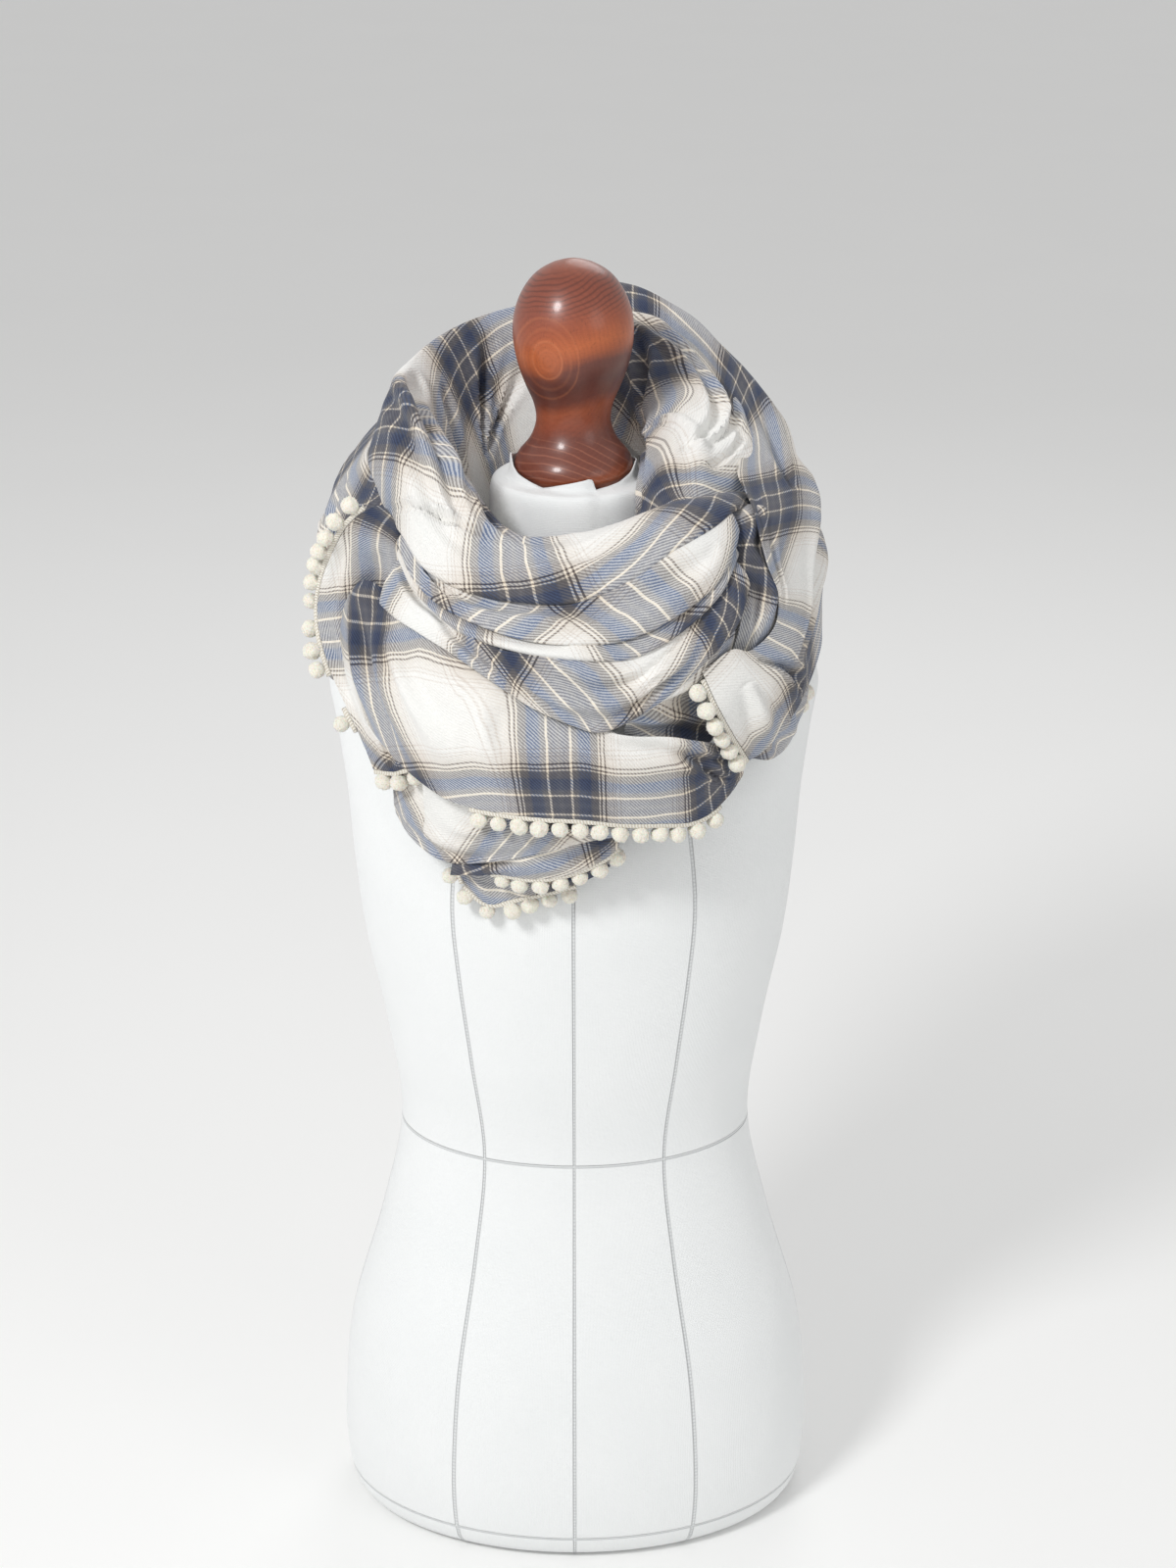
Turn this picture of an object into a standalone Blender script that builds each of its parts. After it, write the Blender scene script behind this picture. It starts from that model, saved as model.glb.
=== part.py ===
# Plaid triangle scarf with a pompom edge, wound round the neck of a limbless dress form.
# Metres, +Z up, front towards -Y. The tables are in millimetres and degrees: angles go round
# the neck from the front, positive towards +X, and heights count from the flat top of the neck.
import math

import bmesh
import bpy
from mathutils import Matrix, Vector

MM = 0.001

CLOTH_THICKNESS = 2.0
LAYER_GAP = 0.75        # clear space between one stretch of cloth and the next
TUCK_IN = 10.0          # how far a stretch slips in behind the edge above it
TUCK_DEEP = 2.5         # how much deeper its hidden edge lies
TRIM_ROOM = 8.0         # room behind an edge that carries pompoms
SECTION_STEP = 13.0     # spacing of sections along a stretch
RIM_SHARE = 0.55        # where the collar bulges most, from its rim to its outer edge

FORM_HEIGHT = 800.0     # floor to the top of the neck
FORM_SIDES = 40
FINIAL_SIDES = 28
FINIAL_SEAT_GAP = 0.35

POMPOM_DIAMETER = 11.5
POMPOM_PITCH = 13.3
POMPOM_SINK = 1.0       # how far each pompom is sunk into its tape
TAPE_WIDTH = 3.4
TAPE_THICKNESS = 1.6
TAPE_GAP = 0.6

COLOURS = {
    "plaid_cloth": ((0.50, 0.52, 0.60), 0.90),
    "pompom_trim": ((0.86, 0.84, 0.77), 0.95),
    "form_cover": ((0.84, 0.85, 0.83), 0.80),
    "turned_wood": ((0.23, 0.06, 0.02), 0.28),
}

# Outline of the dress form, from the floor up.
FORM_SECTIONS = (
    # height, half_width, front_depth, back_depth
    (0, 160, 104, 98),
    (5, 168, 111, 105),
    (22, 174, 117, 110),
    (70, 176, 119, 112),
    (150, 168, 112, 106),
    (240, 143, 95, 90),
    (320, 127, 85, 82),
    (400, 136, 97, 88),
    (470, 149, 107, 95),
    (525, 155, 112, 100),
    (580, 159, 103, 102),
    (630, 165, 90, 98),
    (658, 169, 78, 90),
    (674, 162, 70, 82),
    (690, 138, 62, 72),
    (706, 104, 58, 64),
    (722, 74, 56, 58),
    (736, 59, 55, 55.5),
    (752, 55.5, 54, 54),
    (796, 55, 54, 53),
    (800, 52, 51, 50),
)

# Turned profile of the wooden finial that caps the neck.
FINIAL_PROFILE = (
    # height, radius
    (0, 33),
    (2, 36.5),
    (9, 40),
    (17, 37.5),
    (28, 29),
    (40, 25),
    (52, 26.5),
    (64, 31.5),
    (76, 36),
    (90, 39.2),
    (102, 40),
    (114, 38.6),
    (127, 33.5),
    (138, 25),
    (145, 13.5),
    (148, 2.5),
)

# The wound collar is a full ring. Each row is a section: its inner edge beside the neck, its rim
# and its outer edge.
NECK_ROLL = (
    # angle, inner_radius, inner_height, rim_radius, rim_height, outer_radius, outer_height, bulge
    (0, 62, -56, 99, -9, 141, -40, 9),
    (15, 60, -54, 98, -4, 141, -27, 9),
    (28, 59, -52, 97, 1, 140, -10, 9),
    (40, 58, -50, 100, 5, 139, -1, 9),
    (53, 57.5, -48, 106, 5, 135, 5, 6),
    (67, 57, -46, 111, 4, 130, -8, 5),
    (82, 56.2, -44, 114, 8, 128, -34, 5),
    (100, 57, -44, 115, 18, 128, -42, 5),
    (120, 58, -42, 113, 42, 126, -40, 5),
    (140, 59, -40, 108, 66, 121, -36, 4),
    (160, 59, -40, 104, 80, 118, -34, 4),
    (180, 59, -40, 104, 90, 119, -34, 4),
    (200, 59, -42, 110, 92, 124, -34, 5),
    (220, 59, -44, 116, 84, 131, -34, 6),
    (240, 58, -45, 117, 74, 136, -34, 6),
    (260, 57, -46, 115, 66, 138, -26, 7),
    (278, 56.2, -46, 112, 66, 140, -8, 8),
    (293, 57, -48, 108, 57, 140, -4, 8),
    (306, 58, -50, 103, 38, 140, -13, 9),
    (317, 60, -52, 99, 16, 142, -30, 9),
    (328, 61, -54, 96, -4, 142, -37, 9),
    (342, 62, -56, 96, -14, 142, -40, 9),
)

# A bunched layer stands inside the collar on the right and leans over the neck. Rows go round it.
INNER_FOLD = (
    # four places on a section, from its low edge beside the neck: angle, radius, height
    (38, 60, -38, 38, 66, -25, 38, 80, -12, 38, 90, 0),
    (45, 58.5, -27, 45, 59, -5, 45, 76, 12, 45, 98, 8),
    (55, 60, -20, 55, 54, 12, 55, 74, 28, 55, 106, 13),
    (68, 60, -16, 68, 50, 20, 68, 75, 38, 68, 113, 12),
    (82, 60, -12, 82, 49, 28, 82, 76, 46, 82, 116, 15),
    (100, 60, -8, 100, 50, 34, 100, 78, 54, 100, 116, 25),
    (120, 61, -2, 120, 56, 38, 120, 82, 61, 120, 110, 45),
    (138, 64, 4, 138, 64, 44, 138, 87, 73, 138, 105, 67),
    (150, 67, 10, 150, 72, 52, 150, 90, 80, 150, 102, 78),
)

# Stretches that hang out from under the edge above them.
SECOND_ROLL = (
    # angle, foot_radius, foot_height, bulge
    (-54, 142, -19, 0),
    (-44, 149, -33, 1),
    (-34, 155, -44, 2),
    (-22, 158, -53, 3),
    (-10, 159, -60, 3),
    (2, 159, -62, 3),
    (12, 158, -61, 3),
    (23, 157, -52, 4),
    (34, 156, -38, 5),
    (41, 153, -25, 4),
    (45, 149, -16, 3),
    (49, 143, -9, 1),
)

THIN_ROLL = (
    # angle, foot_radius, foot_height, bulge
    (-53, 144, -27, 0),
    (-49, 147, -33, 0),
    (-44, 151, -41, 0),
    (-36, 156, -50, 0.5),
    (-26, 161, -60, 1),
    (-14, 162, -67, 1.5),
    (0, 163, -71, 1.5),
    (12, 163, -72, 1.5),
    (21, 161, -66, 2),
    (30, 159, -54, 2),
    (37, 157, -42, 2),
    (41, 154, -33, 1),
    (44, 151, -26, 0),
    (46, 149, -21, 0),
)

V_DRAPE = (
    # angle, foot_radius, foot_height, bulge
    (-52.5, 159, -57, 3),
    (-46, 161, -61, 3),
    (-38, 162, -66, 3),
    (-28, 165, -74, 3),
    (-18, 167, -88, 4),
    (-9, 168, -103, 5),
    (-1, 169, -113, 6),
    (6, 169, -119, 6),
    (14, 168, -111, 6),
    (23, 168, -96, 5),
    (31, 167, -80, 5),
    (38, 166, -66, 5),
    (42, 164, -54, 4),
    (45, 161, -38, 3),
)

LOWER_DRAPE = (
    # angle, foot_radius, foot_height, bulge
    (12, 158, -124, -2),
    (18, 157, -134, -2),
    (28, 152, -142, -4),
    (35, 149, -146, -4),
    (40, 148, -142, -4),
)

LOW_FOLD = (
    # angle, foot_radius, foot_height, bulge
    (-51, 153, -206, 0),
    (-46, 151, -220, 1),
    (-35, 150, -229, 2),
    (-21, 149, -222, 2),
    (-8, 149, -212, 2),
    (3, 148, -204, 1),
    (14, 149, -200, 0),
)

TIP_OVER = (
    # angle, foot_radius, foot_height, bulge
    (-33, 150, -236, 0),
    (-26, 146, -234, 0),
    (-20, 143, -232, 1),
    (-12, 142, -233, 2),
    (-5, 142, -231, 3),
    (2, 142, -226, 3),
    (8, 143, -218, 2),
    (12, 144, -210, 1),
)

TIP_UNDER = (
    # angle, foot_radius, foot_height, bulge
    (-32, 137, -248, 0),
    (-26, 131, -261, 1),
    (-18, 128, -255, 1),
    (-6, 126, -248, 0),
    (4, 126, -240, 0),
    (11, 128, -230, 0),
)

# The large front panel: its top slips under the drape above on the left and folds over the lower
# drape on the right.
FRONT_PANEL = (
    # angle, tuck_radius, tuck_height, top_radius, top_height, foot_radius, foot_height, bulge
    (-63, 168, -62, 170, -68, 172, -90, 1),
    (-60, 163.6, -48, 168.8, -56, 173, -110, 2),
    (-57, 158, -44, 165, -51, 172, -121, 5),
    (-52.5, 149, -52, 155.5, -60, 172, -134, 11),
    (-44, 150, -54, 157, -64, 172, -150, 11),
    (-36, 151, -58, 158, -69, 171, -163, 10),
    (-28, 153, -66, 161, -77, 169, -173, 9),
    (-18, 155, -80, 163, -91, 168, -176, 7),
    (-8, 156, -96, 164, -106, 168, -177, 6),
    (2, 157, -107, 165, -117, 168, -178, 5),
    (11, 165, -123, 169, -121, 168, -182, 4),
    (20, 166, -129, 170, -125, 168, -185, 4),
    (27, 165, -135, 169, -131, 167, -188, 3),
    (33, 161, -141, 165, -137, 165, -186, 2),
    (39, 157, -148, 161, -144, 163, -178, 2),
    (44, 155, -154, 159, -151, 161, -168, 1),
)

# The outer wrap starts at the pompom corner on the right, climbs over the back and comes down on
# the left.
OUTER_WRAP = (
    # tuck angle, radius, height, crown angle, radius, height, foot angle, radius, height
    (30, 165, -86, 33, 174, -112, 42, 172, -153),
    (38, 165, -76, 41, 174, -104, 47, 172, -150),
    (44, 166, -80, 49, 175, -102, 54, 172, -140),
    (51, 169, -68, 56, 176, -88, 60, 172, -132),
    (52, 168, -46, 62, 174, -68, 67, 171, -122),
    (50, 163, -24, 68, 170, -46, 76, 170, -114),
    (54, 146, 0, 78, 166, -24, 88, 170, -108),
    (68, 117, 16, 93, 160, -4, 101, 168, -102),
    (88, 113, 24, 108, 152, 22, 114, 166, -96),
    (110, 111, 42, 124, 144, 52, 128, 163, -88),
    (132, 110, 68, 141, 135, 80, 143, 159, -78),
    (154, 107, 86, 157, 127, 101, 158, 155, -70),
    (175, 111, 92, 175, 127, 104, 175, 153, -66),
    (193, 114, 88, 193, 135, 92, 193, 157, -68),
    (211, 122, 72, 211, 145, 62, 211, 163, -76),
    (229, 129, 50, 229, 155, 30, 229, 167, -88),
    (247, 134, 34, 247, 162, 2, 247, 171, -99),
    (262, 137, 26, 263, 167, -22, 264, 173, -110),
    (277, 141, 22, 278, 169, -36, 279, 173, -120),
    (289, 143, 14, 289, 164, -38, 288, 168, -126),
    (298, 144, 4, 298, 151, -30, 297, 156, -104),
)

# A second turn shows below the outer wrap round the back.
BACK_BAND = (
    # angle, foot_radius, foot_height, bulge
    (98, 158, -112, 0),
    (112, 156, -110, 2),
    (126, 152, -108, 3),
    (144, 147, -104, 4),
    (164, 142, -100, 4),
    (184, 142, -98, 4),
    (204, 146, -102, 4),
    (224, 152, -109, 3),
    (240, 157, -116, 2),
    (256, 162, -120, 0),
)

# A layer with a pompom edge runs down the left side. Rows go down, sections go from the right
# edge to the hem on the left.
LEFT_FOLD = (
    # right angle, radius, height, middle angle, radius, height, hem angle, radius, height
    (-54.15, 142.5, -18, -55.5, 149, -8, -58, 157, 3),
    (-54.3, 144, -24, -58, 154, -16, -61.5, 166, -9),
    (-54, 146, -36, -60, 157, -33, -66, 172, -30),
    (-53.5, 147, -58, -62, 161, -56, -70, 177, -54),
    (-52, 153, -84, -62, 166, -82, -72, 179, -80),
    (-49, 157, -110, -58, 167, -108, -67, 178, -104),
    (-45, 158, -134, -52, 166, -134, -59, 175, -130),
    (-42, 157, -150, -48, 164, -154, -55, 170, -153),
    (-41, 156, -160, -47, 162, -168, -53, 166, -171),
)

# The rolled fold between the drapes and the outer wrap on the right.
RIGHT_FOLD = (
    # right angle, radius, height, middle angle, radius, height, left angle, radius, height
    (57, 143, -3, 53, 145, -4, 49.5, 137, -9),
    (56, 148, -14, 52, 151, -14, 48, 139, -18),
    (55.5, 154, -27, 51, 158, -25, 46, 143, -27),
    (55, 162, -42, 50.5, 165, -40, 45, 151, -38),
    (54, 165, -58, 50, 167, -56, 44, 157, -52),
    (52, 165, -75, 47, 164, -72, 42.5, 158, -68),
)

RIGHT_TAIL = (
    # angle, foot_radius, foot_height, bulge
    (47, 161, -160, 1),
    (54, 161, -167, 2),
    (62, 160, -168, 2),
    (69, 160, -162, 1),
    (72, 161, -152, 1),
)

# Largest soft folds, as troughs (positive depth) or ridges (negative) along a line.
FOLDS = {
    "neck_roll": (
        # from along, from down, to along, to down, width, depth
        (0.68, 0.15, 0.74, 0.55, 12, 5),
        (0.61, 0.10, 0.63, 0.60, 14, 5),
        (0.80, 0.15, 0.86, 0.60, 12, 5),
        (0.22, 0.10, 0.24, 0.55, 12, 5),
        (0.30, 0.15, 0.33, 0.60, 12, 5),
        (0.43, 0.10, 0.44, 0.70, 14, 4),
    ),
    "outer_wrap": (
        (0.10, 0.45, 0.32, 0.60, 16, 5),
        (0.30, 0.35, 0.62, 0.55, 18, 5),
        (0.42, 0.75, 0.80, 0.62, 18, 5),
        (0.72, 0.35, 0.95, 0.50, 16, 5),
    ),
    "v_drape": ((0.20, 0.55, 0.55, 0.80, 14, 4),),
    "front_panel": ((0.08, 0.35, 0.34, 0.85, 13, 4), (0.45, 0.40, 0.85, 0.30, 16, 3)),
    "left_fold": ((0.25, 0.40, 0.80, 0.50, 14, 4),),
}


def around(angle, radius, height):
    """A point round the axis of the neck, in metres above the floor."""
    turn = math.radians(angle)
    return Vector((radius * math.sin(turn), -radius * math.cos(turn), height + FORM_HEIGHT)) * MM


def smooth_value(before, start, end, after, share):
    """A value on the smooth curve from start to end."""
    return 0.5 * (
        2 * start
        + (end - before) * share
        + (2 * before - 5 * start + 4 * end - after) * share ** 2
        + (3 * start - before - 3 * end + after) * share ** 3
    )


def step_length(row, next_row):
    """Distance in millimetres between the outer points of two neighbouring rows."""
    if len(row) % 3 == 0:
        return (around(*next_row[3:6]) - around(*row[3:6])).length / MM
    return abs(math.radians(next_row[0] - row[0])) * row[1 if len(row) == 4 else 5]


def rows_along(table, closed=False):
    """The table's rows with smooth ones between them, about one SECTION_STEP apart."""
    rows = [[float(value) for value in row] for row in table]
    count = len(rows)

    def row_at(index):
        if closed:
            lap = index // count
            return [rows[index % count][0] + 360.0 * lap] + rows[index % count][1:]
        if index < 0:
            return [2 * first - second for first, second in zip(rows[0], rows[1])]
        if index >= count:
            return [2 * last - previous for last, previous in zip(rows[-1], rows[-2])]
        return rows[index]

    made = []
    for index in range(count if closed else count - 1):
        near = [row_at(index + offset) for offset in (-1, 0, 1, 2)]
        steps = max(1, round(step_length(near[1], near[2]) / SECTION_STEP))
        for step in range(steps):
            made.append([smooth_value(*values, step / steps) for values in zip(*near)])
    if not closed:
        made.append(rows[-1])
    return made


def smooth_line(knots, count):
    """count + 1 evenly spaced points on a smooth curve through the knots."""
    places = [0.0]
    for start, end in zip(knots, knots[1:]):
        places.append(places[-1] + (end - start).length)
    last = len(knots) - 1
    slopes = []
    for index in range(last + 1):
        low, high = max(index - 1, 0), min(index + 1, last)
        slopes.append((knots[high] - knots[low]) / (places[high] - places[low]))
    points = []
    for step in range(count + 1):
        place = places[-1] * step / count
        index = min(max(sum(mark <= place for mark in places) - 1, 0), last - 1)
        span = places[index + 1] - places[index]
        t = (place - places[index]) / span
        points.append(
            knots[index] * (2 * t ** 3 - 3 * t ** 2 + 1)
            + slopes[index] * (t ** 3 - 2 * t ** 2 + t) * span
            + knots[index + 1] * (3 * t ** 2 - 2 * t ** 3)
            + slopes[index + 1] * (t ** 3 - t ** 2) * span
        )
    return points


def edge_reader(edges):
    """A function that gives the place on the lowest of these edges at an angle round the neck."""
    lines = []
    for edge in edges:
        marks = [(math.degrees(math.atan2(place[0].x, -place[0].y)), place) for place in edge]
        lines.append(list(zip(marks, marks[1:])))

    def read(angle):
        found = []
        for line in lines:
            for (start, first), (end, second) in line:
                span = (end - start + 180.0) % 360.0 - 180.0
                gone = (angle - start + 180.0) % 360.0 - 180.0
                if span and 0.0 <= gone / span <= 1.0:
                    found.append([a.lerp(b, gone / span) for a, b in zip(first, second)])
        return min(found, key=lambda place: place[0].z)

    return read


def hanging_sections(table, upper_edges, inset=0.0, deep=TUCK_DEEP):
    """Knots of a stretch whose top slips in behind the lowest edge above it."""
    read_edge = edge_reader(upper_edges)
    sections = []
    for angle, foot_radius, foot_height, bulge in rows_along(table):
        point, out, normal = read_edge(angle)
        behind = point - normal * (CLOTH_THICKNESS + LAYER_GAP) * MM
        tuck = behind - (out * TUCK_IN + normal * deep) * MM
        top = behind - normal * inset * MM
        foot = around(angle, foot_radius, foot_height)
        middle = (top + foot) / 2 + around(angle, bulge, -FORM_HEIGHT)
        sections.append([tuck, top, middle, foot])
    return sections


def ring_sections(table):
    """Knots of the collar's sections, with its outer side bulged out below the rim."""
    sections = []
    for angle, *values in rows_along(table, closed=True):
        inner, rim, outer = (around(angle, *values[start:start + 2]) for start in (0, 2, 4))
        chord = outer - rim
        side = around(angle + 90.0, 1.0, -FORM_HEIGHT)
        out = chord.cross(side).normalized()
        sections.append([inner, rim, rim + chord * RIM_SHARE + out * values[6] * MM, outer])
    return sections


def panel_sections(table):
    sections = []
    for angle, *values in rows_along(table):
        tuck, top, foot = (values[0:2], values[2:4], values[4:6])
        middle = ((top[0] + foot[0]) / 2 + values[6], (top[1] + foot[1]) / 2)
        sections.append([around(angle, *pair) for pair in (tuck, top, middle, foot)])
    return sections


def free_sections(table):
    return [
        [around(*row[start:start + 3]) for start in range(0, len(row), 3)]
        for row in rows_along(table)
    ]


def grid_normals(grid, closed=False):
    """Unit normals of a grid of points, facing out of the cloth."""
    rows, columns = len(grid), len(grid[0])
    normals = []
    for i in range(rows):
        ahead = (i + 1) % rows if closed else min(i + 1, rows - 1)
        behind = i - 1 if closed else max(i - 1, 0)
        line = []
        for j in range(columns):
            along = grid[ahead][j] - grid[behind][j]
            down = grid[i][min(j + 1, columns - 1)] - grid[i][max(j - 1, 0)]
            line.append(down.cross(along).normalized())
        normals.append(line)
    return normals


def fold_depth(along, down, length, width, folds):
    """Depth of the soft folds at a place on the cloth, fading out at its edges."""
    depth = 0.0
    for along_1, down_1, along_2, down_2, fold_width, fold_deep in folds:
        start = Vector((along_1 * length, down_1 * width))
        line = Vector((along_2 * length, down_2 * width)) - start
        place = Vector((along * length, down * width)) - start
        share = min(max(place.dot(line) / line.length_squared, 0.0), 1.0)
        away = (place - line * share).length / fold_width
        depth += fold_deep * math.exp(-away ** 2) * math.sin(math.pi * (0.15 + 0.7 * share))
    return depth * math.sin(math.pi * down)


def cloth_grid(name, sections, columns, closed=False):
    """Points of a stretch's outer side: smooth across each section, with its soft folds."""
    grid = [smooth_line(knots, columns) for knots in sections]
    folds = FOLDS.get(name, ())
    if not folds:
        return grid
    rows = len(grid)
    middle = [line[columns // 2] for line in grid]
    length = sum((end - start).length for start, end in zip(middle, middle[1:])) / MM
    width = sum((end - start).length for start, end in zip(grid[rows // 2], grid[rows // 2][1:])) / MM
    normals = grid_normals(grid, closed)
    for i in range(rows):
        for j in range(columns + 1):
            depth = fold_depth(i / rows, j / columns, length, width, folds)
            grid[i][j] = grid[i][j] - normals[i][j] * depth * MM
    return grid


def cloth_wall(grid, closed=False):
    """A closed wall whose outer side is the grid and whose inner side lies one thickness in."""
    normals = grid_normals(grid, closed)
    rows, columns = len(grid), len(grid[0])
    vertices = [point for line in grid for point in line]
    for line, directions in zip(grid, normals):
        vertices += [point - out * CLOTH_THICKNESS * MM for point, out in zip(line, directions)]
    inner = rows * columns

    def at(i, j):
        return (i % rows) * columns + j

    faces = []
    for i in range(rows if closed else rows - 1):
        for j in range(columns - 1):
            quad = [at(i, j), at(i, j + 1), at(i + 1, j + 1), at(i + 1, j)]
            faces.append(quad)
            faces.append([inner + index for index in reversed(quad)])
        for j in (0, columns - 1):
            faces.append([at(i, j), at(i + 1, j), inner + at(i + 1, j), inner + at(i, j)])
    if not closed:
        for i in (0, rows - 1):
            for j in range(columns - 1):
                faces.append([at(i, j), at(i, j + 1), inner + at(i, j + 1), inner + at(i, j)])
    return vertices, faces


def ring_solid(rings):
    """A closed solid lofted through rings of points, with flat ends."""
    sides = len(rings[0])
    vertices = [point for ring in rings for point in ring]
    last = len(vertices) - sides
    faces = [list(range(sides)), list(range(last, last + sides))]
    for low in range(0, last, sides):
        for k in range(sides):
            after = (k + 1) % sides
            faces.append([low + k, low + after, low + sides + after, low + sides + k])
    return vertices, faces


def material(slot):
    found = bpy.data.materials.get(slot)
    if found:
        return found
    colour, roughness = COLOURS[slot]
    made = bpy.data.materials.new(slot)
    made.use_nodes = True
    shader = made.node_tree.nodes["Principled BSDF"]
    shader.inputs["Base Color"].default_value = (*colour, 1.0)
    shader.inputs["Roughness"].default_value = roughness
    shader.inputs["Metallic"].default_value = 0.0
    return made


def add_object(name, vertices, faces, slot, sharp_angle=50.0):
    """An object from vertices and faces, triangulated, with its normals out and its material."""
    mesh = bpy.data.meshes.new(name)
    mesh.from_pydata([tuple(vertex) for vertex in vertices], [], faces)
    shaped = bmesh.new()
    shaped.from_mesh(mesh)
    bmesh.ops.triangulate(shaped, faces=shaped.faces)
    bmesh.ops.recalc_face_normals(shaped, faces=shaped.faces)
    shaped.to_mesh(mesh)
    shaped.free()
    mesh.shade_smooth()
    mesh.set_sharp_from_angle(angle=math.radians(sharp_angle))
    mesh.materials.append(material(slot))
    made = bpy.data.objects.new(name, mesh)
    bpy.context.scene.collection.objects.link(made)
    return made


def add_form():
    rings = []
    for height, half_width, front_depth, back_depth in FORM_SECTIONS:
        ring = []
        for k in range(FORM_SIDES):
            turn = math.tau * k / FORM_SIDES
            depth = front_depth if math.cos(turn) > 0 else back_depth
            ring.append(Vector((half_width * math.sin(turn), -depth * math.cos(turn), height)) * MM)
        rings.append(ring)
    add_object("form_torso", *ring_solid(rings), "form_cover")


def add_finial():
    rings = []
    for height, radius in FINIAL_PROFILE:
        angles = [360.0 * k / FINIAL_SIDES for k in range(FINIAL_SIDES)]
        rings.append([around(angle, radius, height + FINIAL_SEAT_GAP) for angle in angles])
    add_object("form_finial", *ring_solid(rings), "turned_wood")


def add_cloth(name, sections, columns=6, closed=False):
    grid = cloth_grid(name, sections, columns, closed)
    add_object(name, *cloth_wall(grid, closed), "plaid_cloth")
    return grid


def foot_edge(grid, first=0, last=None, closed=False):
    """Places along the foot of a stretch: the point, the way out of the cloth and its normal."""
    normals = grid_normals(grid, closed)
    rows = list(range(len(grid))[first:last]) + ([0] if closed else [])
    return [(grid[i][-1], (grid[i][-1] - grid[i][-2]).normalized(), normals[i][-1]) for i in rows]


def end_edge(grid, end, first=0, last=None):
    """The same along the first (end 0) or last (end -1) section of a stretch."""
    normals = grid_normals(grid)
    inside = 1 if end == 0 else -2
    columns = range(len(grid[0]))[first:last]
    return [
        (grid[end][j], (grid[end][j] - grid[inside][j]).normalized(), normals[end][j])
        for j in columns
    ]


def spaced_places(edge, pitch):
    """Evenly spaced places along an edge, about one pitch apart."""
    marks = [0.0]
    for start, end in zip(edge, edge[1:]):
        marks.append(marks[-1] + (end[0] - start[0]).length / MM)
    count = max(1, round(marks[-1] / pitch))
    places = []
    for step in range(count):
        mark = marks[-1] * (step + 0.5) / count
        index = min(max(sum(value <= mark for value in marks) - 1, 0), len(edge) - 2)
        share = (mark - marks[index]) / (marks[index + 1] - marks[index])
        pair = zip(edge[index], edge[index + 1])
        point, out, normal = [a.lerp(b, share) for a, b in pair]
        places.append((point, out.normalized(), normal.normalized()))
    return places


def add_pompoms(name, edge):
    """A narrow tape just off an edge of the cloth, with a row of pompoms fused to it."""
    rings = []
    for point, out, normal in edge:
        middle = point - normal * CLOTH_THICKNESS / 2 * MM
        near = middle + out * TAPE_GAP * MM
        far = middle + out * (TAPE_GAP + TAPE_WIDTH) * MM
        half = normal * TAPE_THICKNESS / 2 * MM
        rings.append([near + half, far + half, far - half, near - half])
    tape = add_object(name, *ring_solid(rings), "pompom_trim")

    reach = TAPE_GAP + TAPE_WIDTH + POMPOM_DIAMETER / 2 - POMPOM_SINK
    gathered = bmesh.new()
    for point, out, normal in spaced_places(edge, POMPOM_PITCH):
        centre = point - normal * CLOTH_THICKNESS / 2 * MM + out * reach * MM
        ball = bmesh.ops.create_icosphere(gathered, subdivisions=1, radius=POMPOM_DIAMETER / 2 * MM)
        bmesh.ops.translate(gathered, verts=ball["verts"], vec=centre)
    mesh = bpy.data.meshes.new(name + "_balls")
    gathered.to_mesh(mesh)
    gathered.free()
    balls = bpy.data.objects.new(name + "_balls", mesh)
    balls.hide_render = True
    balls.display_type = "WIRE"
    bpy.context.scene.collection.objects.link(balls)
    fuse = tape.modifiers.new("fuse", "BOOLEAN")
    fuse.operation = "UNION"
    fuse.object = balls


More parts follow.
